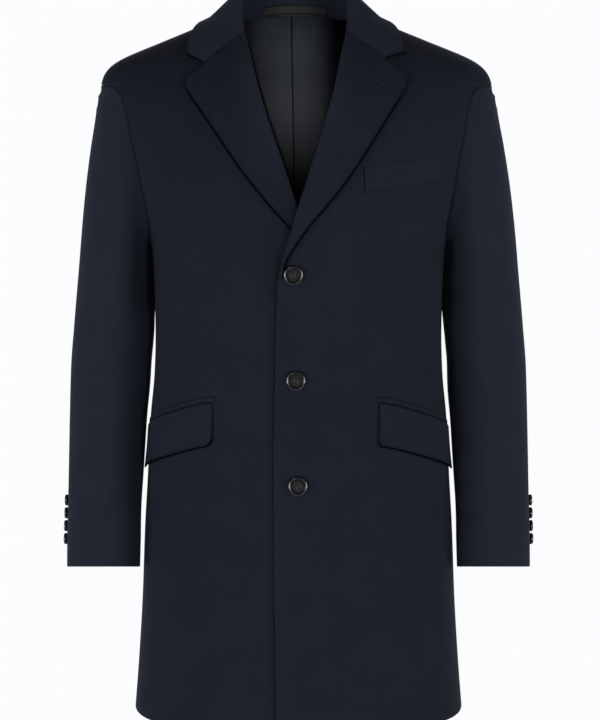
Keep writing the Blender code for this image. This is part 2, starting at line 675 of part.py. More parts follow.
def button(name, at, axis, diameter, height, steps, collection):
    """Turned button: raised rim, hollowed face, rounded back, its axis along the cloth's normal."""
    r = diameter / 2
    outline = ((0.0, 0.52), (0.55, 0.50), (0.74, 0.96), (0.90, 0.98), (1.0, 0.62), (0.90, 0.16), (0.55, 0.0), (0.0, 0.0))
    mesh = bpy.data.meshes.new(name)
    mesh.from_pydata([(r * a, 0, height * b) for a, b in outline], [(i, i + 1) for i in range(len(outline) - 1)], [])
    obj = put(name, mesh, "button", collection)
    turn = obj.modifiers.new("turn", "SCREW")
    turn.axis = "Z"
    turn.steps = turn.render_steps = steps
    turn.use_merge_vertices = True
    turn.merge_threshold = 0.00001
    turn.use_normal_calculate = True
    out = np.asarray(axis, float) / np.linalg.norm(axis)
    side = np.cross((0, 0, 1), out)
    side = side / np.linalg.norm(side)
    up = np.cross(out, side)
    place = np.eye(4)
    place[:3, 0], place[:3, 1], place[:3, 2], place[:3, 3] = side, up, out, at
    obj.matrix_world = Matrix(place.tolist())
    return obj


def build():
    start_over()
    coat = bpy.data.collections.new("overcoat")
    bpy.context.scene.collection.children.link(coat)

    across_front = fractions(9, 0.018)
    across_back = fractions(6, 0.022)
    left, right = front_panel("left", PANEL_Z, across_front), front_panel("right", PANEL_Z, across_front)
    wall("front_left", left, CLOTH, "wool", coat)
    wall("front_right", mirrored(right), CLOTH, "wool", coat, turn=True)
    back = back_panel(PANEL_Z, across_back)
    wall("back_left", back, CLOTH, "wool", coat, turn=True)
    wall("back_right", mirrored(back), CLOTH, "wool", coat)

    lapel_across = np.array((0.12, 0.3, 0.5, 0.7, 0.88, 1.0))
    wall("lapel_left", lapel("left", np.linspace(0, 1, 12), lapel_across), FACED, "wool", coat)
    wall("lapel_right", mirrored(lapel("right", np.linspace(0, RIGHT_LAPEL_END, 9), lapel_across)), FACED, "wool", coat, turn=True)
    wall("collar", collar(np.linspace(-1, 1, 19), 5), FACED, "wool", coat, turn=True)

    rows = np.array((0, 1, 2, 3, 4, 5, 6, 7, 8, 9.2, 10.5, 11.8, 13, 13.85, 14))
    for side in ("left", "right"):
        for upper, parts in ((True, 11), (False, 5)):
            grid = sleeve(upper, rows, seam_fractions(parts, 0.10))
            wall(f"sleeve_{side}_{'top' if upper else 'under'}", grid if side == "left" else mirrored(grid), CLOTH, "wool", coat, turn=side == "right")

    for side in ("left", "right"):
        turn = side == "left"
        shape = (lambda g: g) if turn else mirrored
        wall(f"flap_{side}", shape(flap(side, flap_columns(side), np.linspace(0, 1, 4))), FLAP_WALL, "wool", coat, turn=turn)
        wall(f"jet_{side}", shape(jet(side, np.linspace(0, FLAP_LENGTH + JET_OVERRUN, 9))), JET_WALL, "wool", coat, turn=turn)
        half = back_lining(np.linspace(0, 1, 8), fractions(6, 0.06))
        wall(f"lining_{side}", shape(half), LINING_WALL, "lining", coat, turn=not turn)
    wall("chest_welt", welt(np.linspace(0, WELT_LENGTH, 6), np.linspace(0, 1, 3)), 0.0022, "wool", coat, turn=True)
    wall("hanger_loop", hanger_loop(np.linspace(-0.5, 0.5, 9)), LOOP_WALL, "loop", coat, turn=False)

    for number, (x, z) in enumerate(FRONT_BUTTONS, 1):
        lift = float(left_lift(x, z)) + BUTTON_SHANK
        at = torso(t_at(x, z), z, lift)
        out = outward(at)[0]
        button(f"front_button_{number}", leaned(at), out, FRONT_BUTTON_D, FRONT_BUTTON_H, 14, coat)

    for number in range(1, 5):
        z = CUFF_BUTTON_LOW_Z + CUFF_BUTTON_PITCH * (4 - number)
        angle = math.radians(CUFF_BUTTON_TURN)
        row = sleeve_row_at(z, angle)
        ring = sleeve_ring(row, np.array((angle, angle + 0.02, angle - 0.02)))
        below = sleeve_ring(row + 0.05, np.array((angle,)))[0]
        out = np.cross(ring[2] - ring[1], below - ring[0])
        out = out / np.linalg.norm(out)
        out = out if out[0] > 0 else -out
        at = ring[0] + out * (BUTTON_SHANK + 0.0004)
        for side in ("left", "right"):
            sign = np.array((1, 1, 1)) if side == "left" else np.array((-1, 1, 1))
            button(f"cuff_button_{side}_{number}", leaned(at * sign), out * sign, CUFF_BUTTON_D, CUFF_BUTTON_H, 8, coat)


build()
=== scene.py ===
"""Looks of the overcoat: fine cloth shells on the same form as its solids, buttons with
their thread, the buttonhole of the lapel, materials, stage, light and camera.
X runs to the wearer's left, Y to the back, Z up; metres throughout.
"""

import math

import bmesh
import bpy
import numpy as np
from mathutils import Matrix


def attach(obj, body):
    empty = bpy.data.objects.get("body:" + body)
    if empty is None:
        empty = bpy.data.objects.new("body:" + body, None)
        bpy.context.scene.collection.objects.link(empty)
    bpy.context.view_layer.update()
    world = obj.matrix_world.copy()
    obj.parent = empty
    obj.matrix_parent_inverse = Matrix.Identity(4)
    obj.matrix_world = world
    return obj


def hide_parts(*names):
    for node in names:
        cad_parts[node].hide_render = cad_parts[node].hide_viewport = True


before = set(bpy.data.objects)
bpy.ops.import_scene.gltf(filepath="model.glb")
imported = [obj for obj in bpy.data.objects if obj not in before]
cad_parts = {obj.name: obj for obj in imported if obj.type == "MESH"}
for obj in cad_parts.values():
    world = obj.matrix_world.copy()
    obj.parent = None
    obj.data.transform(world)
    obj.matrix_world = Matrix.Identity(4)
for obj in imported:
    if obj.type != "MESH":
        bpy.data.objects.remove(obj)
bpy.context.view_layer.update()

# ------------------------------------------------------------------ cloth and gaps
CLOTH = 0.0022  # body cloth
FACED = 0.0024  # lapel and collar: cloth with its facing
FLAP_WALL = 0.0026
JET_WALL = 0.0014
LINING_WALL = 0.0010
SEAM = -0.0002  # the edges of a seam go this far into one another
OVERLAP_LIFT = 0.0036  # the left front lies this far out over the right one
CROSSING_LIFT = 0.0050  # and this much more where it crosses the right lapel

# ------------------------------------------------------------------ the body form
# Level sections of the coat, hem to neck. Each is a rounded oval: half its width, its
# depth before and behind the side seams, and how square its corners are (2 is an ellipse).
BODY_COLUMNS = ("z", "half_width", "front_depth", "back_depth", "roundness")
BODY = (
    (-0.898, 0.2153, 0.1500, 0.1400, 2.50),  # hem
    (-0.834, 0.2101, 0.1475, 0.1375, 2.50),
    (-0.753, 0.2048, 0.1445, 0.1330, 2.50),
    (-0.652, 0.2005, 0.1410, 0.1265, 2.50),  # seat
    (-0.592, 0.1967, 0.1385, 0.1215, 2.50),
    (-0.512, 0.1924, 0.1355, 0.1110, 2.45),  # pockets
    (-0.453, 0.1867, 0.1330, 0.1020, 2.45),
    (-0.404, 0.1851, 0.1320, 0.0980, 2.40),  # waist
    (-0.350, 0.1860, 0.1335, 0.0985, 2.40),
    (-0.295, 0.1886, 0.1375, 0.1040, 2.35),  # armpit
    (-0.253, 0.1985, 0.1395, 0.1095, 2.35),
    (-0.200, 0.2190, 0.1385, 0.1150, 2.30),  # chest
    (-0.160, 0.2330, 0.1340, 0.1170, 2.30),
    (-0.127, 0.2440, 0.1260, 0.1165, 2.30),
    (-0.090, 0.2510, 0.1120, 0.1130, 2.30),
    (-0.070, 0.2460, 0.1005, 0.1080, 2.30),
    (-0.0546, 0.2312, 0.0910, 0.1040, 2.30),  # shoulder tip
    (-0.037, 0.1892, 0.0770, 0.0980, 2.30),
    (-0.0217, 0.1518, 0.0630, 0.0910, 2.30),
    (-0.0065, 0.1145, 0.0490, 0.0820, 2.25),
    (0.010, 0.0810, 0.0330, 0.0660, 2.20),  # neck point
    (0.030, 0.0340, 0.0150, 0.0300, 2.00),
    (0.044, 0.0050, 0.0050, 0.0050, 2.00),
)
FORM_STEP = 0.001
FORM_BLUR = 7  # in steps
HEM_Z = -0.898
NECK_POINT_Z = 0.009
NECK_SEAM_Z = 0.001  # at the centre back
COLLAR_LEAN = -0.0042  # the neck sits this far to the wearer's right of the hem's middle
LEAN_FROM_Z = -0.30

# Armhole: an oval on the body form, from the shoulder tip to the armpit.
ARM_TIP_Z, ARM_PIT_Z = -0.0830, -0.2850
ARM_OPEN, ARM_EGG, ARM_CROWN = 0.487, 0.17, 0.13  # how far round from the side it reaches, in radians of the section: at mid height, and more towards the tip
ARM_PARTS = 8  # rows from tip to pit
ARM_INSET = 0.0009  # the sleeve's own edge lies this far inside the oval

# Front edge of the left front, which runs on into the roll line of its lapel.
EDGE_COLUMNS = ("z", "x")
EDGE = (
    (-0.900, -0.0290),
    (-0.776, -0.0304),
    (-0.673, -0.0317),
    (-0.531, -0.0319),
    (-0.447, -0.0302),
    (-0.328, -0.0267),  # top button
    (-0.297, -0.0205),
    (-0.262, -0.0095),
    (-0.231, 0.0005),
    (-0.200, 0.0116),
    (-0.167, 0.0228),
    (-0.123, 0.0377),
    (-0.082, 0.0498),
    (-0.036, 0.0609),
    (-0.0214, 0.0655),
    (-0.0045, 0.0738),
    (0.010, 0.0792),
)
UNDERLAP_X = -0.0300  # mirrored: how far the right front reaches under the left one

# Lapel: from the gorge seam down to where it runs out above the top button.
LAPEL_COLUMNS = ("roll_z", "edge_z", "edge_x")
LAPEL = (
    (-0.0214, -0.0723, 0.1407),  # gorge seam and lapel point
    (-0.0360, -0.0850, 0.1363),
    (-0.0560, -0.1010, 0.1263),
    (-0.0800, -0.1226, 0.1120),
    (-0.1100, -0.1500, 0.0938),
    (-0.1450, -0.1832, 0.0710),
    (-0.1850, -0.2208, 0.0415),
    (-0.2300, -0.2600, 0.0085),
    (-0.2780, -0.2969, -0.0143),
    (-0.3120, -0.3180, -0.0222),
)
LAPEL_RISE = 0.0062  # outer face over the body at the roll
LAPEL_LIE = 0.0050  # and at the free edge
LAPEL_TUCK = 0.0024  # the right one is pressed this much flatter where it goes under the left front
RIGHT_LAPEL_END = 0.785  # the rest of the right lapel is hidden under the left front
LAPEL_DROP = {"left": 0.0, "right": 0.0050}  # the right lapel's point hangs this much lower
NOTCH_SHARE = {"left": 0.59, "right": 0.65}  # the notch's corner, along the lapel's top edge from the roll to the point
COLLAR_TIP = {"left": (0.1373, -0.0455), "right": (0.1373, -0.0465)}  # x, z

# Collar: sections from the centre back to the front end. neck is the foot of the
# stand, roll the top fold, edge the free lower edge of the fall.
COLLAR_COLUMNS = ("neck_x", "neck_y", "neck_z", "roll_x", "roll_y", "roll_z", "edge_x", "edge_y", "edge_z")
COLLAR = (
    (0.0000, 0.0680, 0.0046, 0.0000, 0.0640, 0.0440, 0.0000, 0.0960, -0.0170),
    (0.0300, 0.0610, 0.0032, 0.0290, 0.0580, 0.0442, 0.0480, 0.0880, -0.0165),
    (0.0540, 0.0420, -0.0016, 0.0515, 0.0415, 0.0446, 0.0890, 0.0620, -0.0130),
    (0.0690, 0.0190, -0.0028, 0.0645, 0.0200, 0.0440, 0.1112, 0.0300, -0.0060),
    (0.0745, -0.0040, 0.0010, 0.0690, -0.0060, 0.0360, 0.1215, -0.0040, -0.0085),
    (0.0708, -0.0350, -0.0035, 0.0682, -0.0335, 0.0105, 0.1290, -0.0300, -0.0200),
    (0.0630, -0.0540, -0.0185, 0.0640, -0.0600, -0.0170, 0.1330, -0.0560, -0.0320),
)
COLLAR_LIE = 0.0050  # outer face over the body
ROLL = ((-0.0029, -0.0016), (-0.0034, 0.0012), (-0.0022, 0.0040), (0.0010, 0.0052))  # round the front's edge: along the cloth, out of it
GORGE_GAP = 0.0003  # seam between collar and lapel

# Sleeve: rings from the armhole to the cuff. Each goes through an outer and an inner
# point, inner_gap clear of the body, with a depth to front and back and a forward tilt.
SLEEVE_COLUMNS = ("outer_x", "outer_z", "inner_gap", "inner_z", "half_depth", "mid_y", "tilt")
SLEEVE = (
    (0.2500, -0.0830, 0.0010, -0.2856, 0.0680, -0.0050, 0.0),  # armhole
    (0.2513, -0.0852, 0.0010, -0.2866, 0.0683, -0.0048, 0.0),
    (0.2532, -0.0925, 0.0010, -0.2885, 0.0688, -0.0040, 0.0),
    (0.2560, -0.1075, 0.0011, -0.2920, 0.0694, -0.0030, 0.0),
    (0.2592, -0.1288, 0.0011, -0.2975, 0.0700, -0.0015, 0.0),
    (0.2660, -0.1680, 0.0011, -0.3040, 0.0704, 0.0000, 0.0),
    (0.2722, -0.2080, 0.0012, -0.3120, 0.0704, 0.0015, 0.0),
    (0.2785, -0.2600, 0.0012, -0.3260, 0.0700, 0.0030, 0.0),
    (0.2850, -0.3280, 0.0013, -0.3520, 0.0688, 0.0045, 1.0),
    (0.2913, -0.3941, 0.0013, -0.3960, 0.0668, 0.0050, 3.0),
    (0.2960, -0.4531, 0.0043, -0.4531, 0.0640, 0.0025, 6.0),
    (0.2980, -0.5323, 0.0047, -0.5323, 0.0588, -0.0080, 9.5),
    (0.2992, -0.6119, 0.0054, -0.6119, 0.0530, -0.0235, 12.0),
    (0.3003, -0.6700, 0.0034, -0.6700, 0.0490, -0.0365, 12.8),
    (0.3003, -0.7046, 0.0028, -0.7046, 0.0470, -0.0440, 12.8),  # cuff
)
SLEEVE_SETTLE = 5  # rows over which the ring leaves the armhole's own shape
HIND_SEAM = (-90.0, -14.0)  # degrees round the sleeve, at armhole and cuff: 0 is outer, 90 front
FORE_SEAM = (157.5, 162.0)

# Pockets, by length round the body and depth. top is the upper front corner.
FLAP_LENGTH, FLAP_DEPTH, FLAP_STAND = 0.146, 0.056, 0.0024
FLAP_SLOPE, FLAP_HEEL = 0.340, 0.0120
FLAP_CORNER = {"left": 0.004, "right": 0.010}  # radius of the lower front corner
FLAP_LIE = 0.0027
FLAP_TOP_Z = -0.4770
FLAP_FRONT_X = {"left": 0.1005, "right": 0.1080}
JET_HEIGHT, JET_OVERRUN, JET_LIE = 0.0076, 0.003, 0.0012
WELT_X, WELT_TOP_Z, WELT_LENGTH, WELT_HEIGHT, WELT_SLOPE, WELT_LIE = 0.0814, -0.1800, 0.104, 0.0318, 0.104, 0.0010

# Back lining, as far down as it shows, and the loop at the neck.
LINING_LOW_Z, LINING_TOP_Z = -0.350, 0.0015
LINING_SIDE = 0.60  # stops this far round from the side
LOOP_LENGTH, LOOP_WIDTH, LOOP_WALL, LOOP_Z, LOOP_ARCH = 0.082, 0.0106, 0.0016, 0.0080, 0.0034
LOOP_CLEAR, LOOP_BOW = 0.0052, 0.0080  # in front of the collar stand at its ends, and more in the middle
NECK_CURVE = 8.6  # of the stand's inside at the centre back, per metre

# Buttons.
FRONT_BUTTON_D, FRONT_BUTTON_H = 0.0245, 0.0044
CUFF_BUTTON_D, CUFF_BUTTON_H = 0.0150, 0.0034
BUTTON_SHANK = 0.0006
FRONT_BUTTONS = ((-0.0061, -0.3120), (-0.0031, -0.4465), (-0.0006, -0.5796))  # x, z
CUFF_BUTTON_LOW_Z, CUFF_BUTTON_PITCH, CUFF_BUTTON_TURN = -0.6700, 0.0163, -6.0

# ------------------------------------------------------------------ the looks' own sizes
EDGE_SHADE_WIDTH = 0.0019  # of the painted shade along the edges and seams of a piece
# Widths of painted shade along each piece's first and last column and first and last row.
LAPEL_EDGE_SHADE = (0.0019, 0.0048, 0.0012, 0.0020)
COLLAR_EDGE_SHADE = (0.0019, 0.0024, 0.0046, 0.0046)
FLAP_EDGE_SHADE = (0.0022, 0.0019, 0.0022, 0.0038)
FRONT_EDGE_SHADE = (0.0012, 0.0014, 0.0019, 0.0019)
SLEEVE_EDGE_SHADE = (0.0016, 0.0016, 0.0094, 0.0019)  # of painted shade; the sleeve head's own includes what is tucked under
PAINTED_LIGHT_TONES = {"front": {"left": (0.93, 0.95), "right": (0.83, 0.95)}, "back": 0.95, "lapel_left": 0.93, "lapel_right": 0.84, "collar": 1.32, "stand": 0.90, "sleeve": 1.18}  # painted light and shade: collar and sleeves painted lighter, lapels and stand darker, each front darker towards its top
LINING_ARCH = 0.0050  # its top edge rises this much at the centre back, behind the foot of the stand
LINING_SHADE = {"left": (0.022, 0.056), "right": (0.038, 0.082)}  # the lining falls into shadow from here to here, out from the middle
LINING_EDGE_SHADE = (0.0028, 0.0019, 0.0019, 0.0019)
ROLL_REACH = 0.0036  # how far the lapel's turned edge goes round the edge of the front
LAPEL_BELLY = 0.0008
COLLAR_CROWN = 0.0006
COLLAR_END_FROM = 0.80  # the collar's sections turn towards its front end from here
WELT_WALL = 0.0014
INNER_REST, INNER_REST_TURN, INNER_REST_Z = 0.0100, 212.0, (-0.388, -0.340)  # the sleeve's inner side lies along the body: how far in, where round it, and down to where
INNER_OPEN = {"left": 0.0030, "right": 0.0010}  # and this much further off the body just below
WEDGE = {"left": 0.0030, "right": 0.0080}  # the sleeve falls this much away from the body in front of where it rests
LINING_LAP = 0.0064  # the left half of the lining folds over the right one
HOLES = ((-0.17, 0.17), (0.17, 0.17), (-0.17, -0.17), (0.17, -0.17))  # of a button, by its radius
HOLE_SIZE = 0.085
BUTTON_TURNS = (9.0, -14.0, 22.0)
LAPEL_HOLE = ((0.0893, -0.0675), (0.1042, -0.0775))  # x, z of the slit's ends

LINING_SWAY = {  # soft waves down the lining: width, depth, start, slant
    "left": ((0.0085, 0.0007, 0.6, 5.0), (0.0170, 0.0010, 2.0, -3.0)),
    "right": ((0.0080, 0.0008, 1.9, -4.0), (0.0190, 0.0010, 0.3, 2.5)),
}

WOOL_DARK, WOOL_LIGHT = (0.0063, 0.0080, 0.0140, 1), (0.0102, 0.0125, 0.0202, 1)
WOOL_SHEEN, WOOL_SPECULAR = 0.06, 0.10
WEAVE_SCALE = 300.0
LINING_DARK, LINING_LIGHT = (0.0132, 0.0158, 0.0208, 1), (0.0158, 0.0188, 0.0242, 1)
LOOP_DARK, LOOP_LIGHT = (0.0026, 0.0029, 0.0034, 1), (0.0046, 0.0050, 0.0058, 1)
BUTTON_DARK, BUTTON_LIGHT = (0.0020, 0.0023, 0.0032, 1), (0.0062, 0.0070, 0.0092, 1)

AMBIENT_UP, AMBIENT_LEVEL, AMBIENT_DOWN = 0.05, 0.52, 0.48  # the studio seen from the coat: above, at its level, below
BACKDROP = (0.966, 0.975, 0.991, 1)
FLOOR_Z, FLOOR_RADIUS = -1.38, 1.25
CAMERA_AT, CAMERA_PITCH, CAMERA_FOCAL_PX = (0.00195, -3.4, 0.05), 8.2, 2642.0
LIGHTS = (  # name, place, aimed at, width, height, watts
    ("front_left", (-2.1, -2.45, -0.95), (0, 0, -0.45), 0.7, 0.7, 27.0),
    ("front_right", (1.35, -2.95, -0.95), (0, 0, -0.45), 0.7, 0.7, 31.0),
    ("key", (-1.5, -2.5, 1.7), (0, 0, -0.35), 0.45, 0.45, 6.5),
    ("left_side", (-2.6, -1.5, -0.45), (0, 0, -0.55), 1.0, 1.8, 32.5),
    ("right_side", (2.6, -1.5, -0.45), (0, 0, -0.55), 1.0, 1.8, 38.0),
    ("behind", (0, 3.0, 0.10), (0, 0, -0.45), 1.6, 1.2, 42.0),
)
SPOT_AT, SPOT_TO, SPOT_WATTS, SPOT_REACH = (-0.02, -2.6, 0.00), (-0.009, 0.085, -0.040), 350.0, (0.052, 0.180)  # a masked light into the neck: place, aimed at, and how far it reaches there, across and up

# Soft creases, in each piece's own place: start, end, half width, depth (minus is a trough).
CREASES = {
    "front_left": (
        ((0.190, -0.052, -0.262), (0.158, -0.094, -0.228), 0.015, -0.0007),
        ((0.180, -0.062, -0.330), (0.150, -0.096, -0.352), 0.020, -0.0005),
        ((0.118, -0.121, -0.640), (0.130, -0.131, -0.905), 0.034, 0.0012),
        ((0.166, -0.095, -0.610), (0.172, -0.104, -0.905), 0.026, -0.0011),
    ),
    "front_right": (
        ((-0.194, -0.048, -0.270), (-0.165, -0.088, -0.246), 0.013, -0.0006),
        ((-0.178, -0.064, -0.362), (-0.146, -0.099, -0.371), 0.018, -0.0005),
        ((-0.104, -0.126, -0.690), (-0.112, -0.136, -0.905), 0.036, 0.0010),
        ((-0.160, -0.098, -0.640), (-0.171, -0.105, -0.905), 0.024, -0.0012),
    ),
    "back_left": (
        ((0.186, 0.076, -0.150), (0.118, 0.104, -0.196), 0.017, -0.0016),
        ((0.168, 0.071, -0.262), (0.096, 0.101, -0.238), 0.013, -0.0013),
        ((0.040, 0.097, -0.398), (0.128, 0.079, -0.412), 0.019, -0.0015),
        ((0.060, 0.097, -0.446), (0.140, 0.078, -0.437), 0.014, 0.0010),
        ((0.082, 0.112, -0.560), (0.094, 0.132, -0.905), 0.028, 0.0024),
        ((0.140, 0.098, -0.590), (0.158, 0.109, -0.905), 0.024, -0.0022),
    ),
    "back_right": (
        ((-0.182, 0.080, -0.166), (-0.126, 0.103, -0.203), 0.015, -0.0014),
        ((-0.160, 0.076, -0.246), (-0.084, 0.104, -0.231), 0.016, -0.0012),
        ((-0.052, 0.096, -0.386), (-0.134, 0.077, -0.405), 0.016, -0.0016),
        ((-0.044, 0.100, -0.462), (-0.118, 0.086, -0.448), 0.017, 0.0009),
        ((-0.070, 0.115, -0.585), (-0.088, 0.133, -0.905), 0.031, 0.0022),
        ((-0.132, 0.101, -0.570), (-0.150, 0.112, -0.905), 0.022, -0.0024),
    ),
    "sleeve_left_top": (
        ((0.206, -0.045, -0.384), (0.258, -0.060, -0.372), 0.014, -0.0006),
        ((0.204, -0.044, -0.441), (0.246, -0.065, -0.431), 0.012, -0.0005),
        ((0.224, -0.078, -0.604), (0.272, -0.067, -0.616), 0.013, -0.0005),
    ),
    "sleeve_left_under": (
        ((0.214, 0.060, -0.352), (0.268, 0.060, -0.378), 0.014, -0.0015),
        ((0.218, 0.058, -0.428), (0.266, 0.052, -0.412), 0.011, 0.0009),
        ((0.212, 0.044, -0.498), (0.256, 0.050, -0.514), 0.013, -0.0011),
    ),
    "sleeve_right_top": (
        ((-0.208, -0.047, -0.372), (-0.254, -0.062, -0.364), 0.013, -0.0005),
        ((-0.203, -0.043, -0.456), (-0.250, -0.064, -0.441), 0.014, -0.0006),
        ((-0.221, -0.077, -0.592), (-0.266, -0.069, -0.606), 0.012, -0.0004),
    ),
    "sleeve_right_under": (
        ((-0.211, 0.060, -0.366), (-0.264, 0.061, -0.384), 0.012, -0.0013),
        ((-0.220, 0.057, -0.446), (-0.270, 0.047, -0.425), 0.014, 0.0010),
        ((-0.210, 0.040, -0.520), (-0.252, 0.046, -0.538), 0.011, -0.0012),
    ),
}


# ------------------------------------------------------------------ the form's surface
def column(table, columns, name):
    return np.array([row[columns.index(name)] for row in table], float)


def through(xs, ys, x):
    """Cubic through the rows of a table that never overshoots them, straight on past both ends."""
    h = np.diff(xs)
    d = np.diff(ys) / h
    m = np.concatenate(([d[0]], np.zeros(len(xs) - 2), [d[-1]]))
    for i in range(1, len(xs) - 1):
        if d[i - 1] * d[i] > 0:
            w1, w2 = 2 * h[i] + h[i - 1], h[i] + 2 * h[i - 1]
            m[i] = (w1 + w2) / (w1 / d[i - 1] + w2 / d[i])
    x = np.asarray(x, float)
    inside = np.clip(x, xs[0], xs[-1])
    i = np.clip(np.searchsorted(xs, inside, side="right") - 1, 0, len(xs) - 2)
    s = (inside - xs[i]) / h[i]
    y = (
        ys[i] * (1 + 2 * s) * (1 - s) ** 2
        + m[i] * h[i] * s * (1 - s) ** 2
        + ys[i + 1] * s * s * (3 - 2 * s)
        + m[i + 1] * h[i] * s * s * (s - 1)
    )
    return y + np.where(x < xs[0], m[0], m[-1]) * (x - inside)


FORM_Z = np.arange(-0.960, 0.0601, FORM_STEP)


def softened(name):
    """One size of the body against height, on a fine even grid, with the joins between rows blurred."""
    raw = through(column(BODY, BODY_COLUMNS, "z"), column(BODY, BODY_COLUMNS, name), FORM_Z)
    reach = 3 * FORM_BLUR
    kernel = np.exp(-0.5 * (np.arange(-reach, reach + 1) / FORM_BLUR) ** 2)
    padded = np.pad(raw, reach, mode="reflect", reflect_type="odd")
    return np.convolve(padded, kernel / kernel.sum(), mode="valid")


FORM = {name: softened(name) for name in BODY_COLUMNS[1:]}
FORM_SLOPE = {name: np.gradient(values, FORM_STEP) for name, values in FORM.items()}


def size(name, z):
    return np.interp(z, FORM_Z, FORM[name])


def slope(name, z):
    return np.interp(z, FORM_Z, FORM_SLOPE[name])


def smoothstep(low, high, x):
    s = np.clip((np.asarray(x, float) - low) / (high - low), 0, 1)
    return s * s * (3 - 2 * s)


def unit(v):
    return v / np.maximum(np.linalg.norm(v, axis=-1, keepdims=True), 1e-12)


def outward(p):
    """Unit normal of the body's surface through p, and p's distance outside the body."""
    x, y, z = p[..., 0], p[..., 1], p[..., 2]
    a, n = size("half_width", z), size("roundness", z)
    front = y < 0
    b = np.where(front, size("front_depth", z), size("back_depth", z))
    a_z = slope("half_width", z)
    b_z = np.where(front, slope("front_depth", z), slope("back_depth", z))
    u, v = np.abs(x) / a, np.abs(y) / b
    level = np.maximum(u**n + v**n, 1e-9)
    k = level ** (1 / n - 1)
    g = np.stack(
        (
            k * u ** (n - 1) * np.sign(x) / a,
            k * v ** (n - 1) * np.sign(y) / b,
            -k * (u**n * a_z / a + v**n * b_z / b),
        ),
        -1,
    )
    length = np.maximum(np.linalg.norm(g, axis=-1), 1e-9)
    return g / length[..., None], (level ** (1 / n) - 1) / length


def torso(t, z, lift=0.0, back=False):
    """Point of the body's surface at height z. t is 0 at the side and 90 degrees at the middle."""
    t, z = np.broadcast_arrays(np.asarray(t, float), np.asarray(z, float))
    n = size("roundness", z)
    c, s = np.cos(t), np.sin(t)
    x = size("half_width", z) * np.sign(c) * np.abs(c) ** (2 / n)
    depth = size("back_depth", z) if back else -size("front_depth", z)
    p = np.stack((x, depth * np.sign(s) * np.abs(s) ** (2 / n), z), -1)
    return p + outward(p)[0] * np.asarray(lift)[..., None]


def t_at(x, z):
    """The t of the point that is x from the middle at height z."""
    ratio = np.clip(np.asarray(x, float) / size("half_width", z), -1, 1)
    return np.arccos(np.sign(ratio) * np.abs(ratio) ** (size("roundness", z) / 2))


def clear_of_body(p, gap, onto=False):
    """p moved out until it is gap clear of the body, or exactly that far if onto."""
    for _ in range(6):
        out, distance = outward(p)
        short = np.asarray(gap) - distance
        p = p + out * (short if onto else np.maximum(short, 0))[..., None]
    return p


def mirrored(p):
    return p * np.array((-1.0, 1.0, 1.0))


def leaned(p):
    """The whole coat's slight sideways lean above the waist."""
    rise = np.clip((p[..., 2] - LEAN_FROM_Z) / -LEAN_FROM_Z, 0, 1.2)
    return p + np.stack((COLLAR_LEAN * rise**1.5, 0 * rise, 0 * rise), -1)


# ------------------------------------------------------------------ panels
def armhole_reach(c, grow):
    """How far the armhole goes round the body; c is 1 at the tip, where it is squarer, and -1 at the pit."""
    square = 0.5 - 0.37 * smoothstep(0.0, 0.6, c)
    return (ARM_OPEN + ARM_EGG * c + ARM_CROWN * np.minimum(c, 0) ** 2 + grow / 0.11) * np.clip(1 - c * c, 0, 1) ** square


def armhole_t(z, grow=0.0):
    middle, half = (ARM_TIP_Z + ARM_PIT_Z) / 2, (ARM_TIP_Z - ARM_PIT_Z) / 2
    return armhole_reach(np.clip((z - middle) / (half + grow), -1, 1), grow)


def armhole_heights(parts):
    middle, half = (ARM_TIP_Z + ARM_PIT_Z) / 2, (ARM_TIP_Z - ARM_PIT_Z) / 2
    return middle - (half + SEAM) * np.cos(np.linspace(0, math.pi, parts + 1))


def edge_x(z):
    return through(column(EDGE, EDGE_COLUMNS, "z"), column(EDGE, EDGE_COLUMNS, "x"), z)


def left_lift(x, z):
    """How far the left front stands out over the right one."""
    near = 1 - smoothstep(0.045, 0.130, x)
    below = 1 - smoothstep(-0.225, -0.130, z)
    crossing = smoothstep(-0.360, -0.320, z) * (1 - smoothstep(-0.230, -0.150, z))
    return (OVERLAP_LIFT * below + CROSSING_LIFT * crossing) * near


def spread(t_in, t_out, z, across):
    """Columns from a panel's inner edge outward; above the armhole only the outer ones go out to the shoulder's end."""
    near = ARM_TIP_Z - 0.020
    even = np.where(z > near, armhole_t(near, SEAM) * (1 - smoothstep(near, NECK_POINT_Z, z)), t_out)
    return t_in + (even - t_in) * across + (t_out - even) * across**6


def front_panel(side, z, across):
    """Rows of the front from its inner edge to the side seam, the armhole or the shoulder."""
    z = np.append(z, NECK_POINT_Z)[:, None]
    inner = edge_x(z)
    if side == "right":
        inner = np.where(z < -0.30, np.minimum(inner, UNDERLAP_X), inner)
    t_in = t_at(inner, z)
    t_out = armhole_t(z, SEAM) + SEAM / 0.13
    t = spread(t_in, t_out, z, across[None, :])
    z = np.broadcast_to(z, t.shape)
    flat = torso(t, z)
    lift = left_lift(flat[..., 0], z) if side == "left" else 0 * z
    return torso(t, z, lift)


def back_panel(z, across):
    z = np.append(z[z < NECK_SEAM_Z], (NECK_SEAM_Z, 0.0045, NECK_POINT_Z - 0.0015))[:, None]
    neck_x = 0.072 * np.sqrt(np.clip((z - NECK_SEAM_Z) / (NECK_POINT_Z - NECK_SEAM_Z), 0, 1))
    inner = np.where(z <= NECK_SEAM_Z, SEAM, neck_x)
    t_in = t_at(inner, z)
    t_out = armhole_t(z, SEAM) + SEAM / 0.10
    t = spread(t_in, t_out, z, across[None, :])
    return torso(t, np.broadcast_to(z, t.shape), back=True)


def lapel_row(fraction, side):
    """Roll point and edge point of the lapel at a fraction of its length from the gorge."""
    rows = np.linspace(0, 1, len(LAPEL))
    roll_z = through(rows, column(LAPEL, LAPEL_COLUMNS, "roll_z"), fraction)
    end_z = through(rows, column(LAPEL, LAPEL_COLUMNS, "edge_z"), fraction)
    end_x = through(rows, column(LAPEL, LAPEL_COLUMNS, "edge_x"), fraction)
    return roll_z, end_x, end_z - LAPEL_DROP[side] * (1 - smoothstep(0.0, 0.45, fraction))


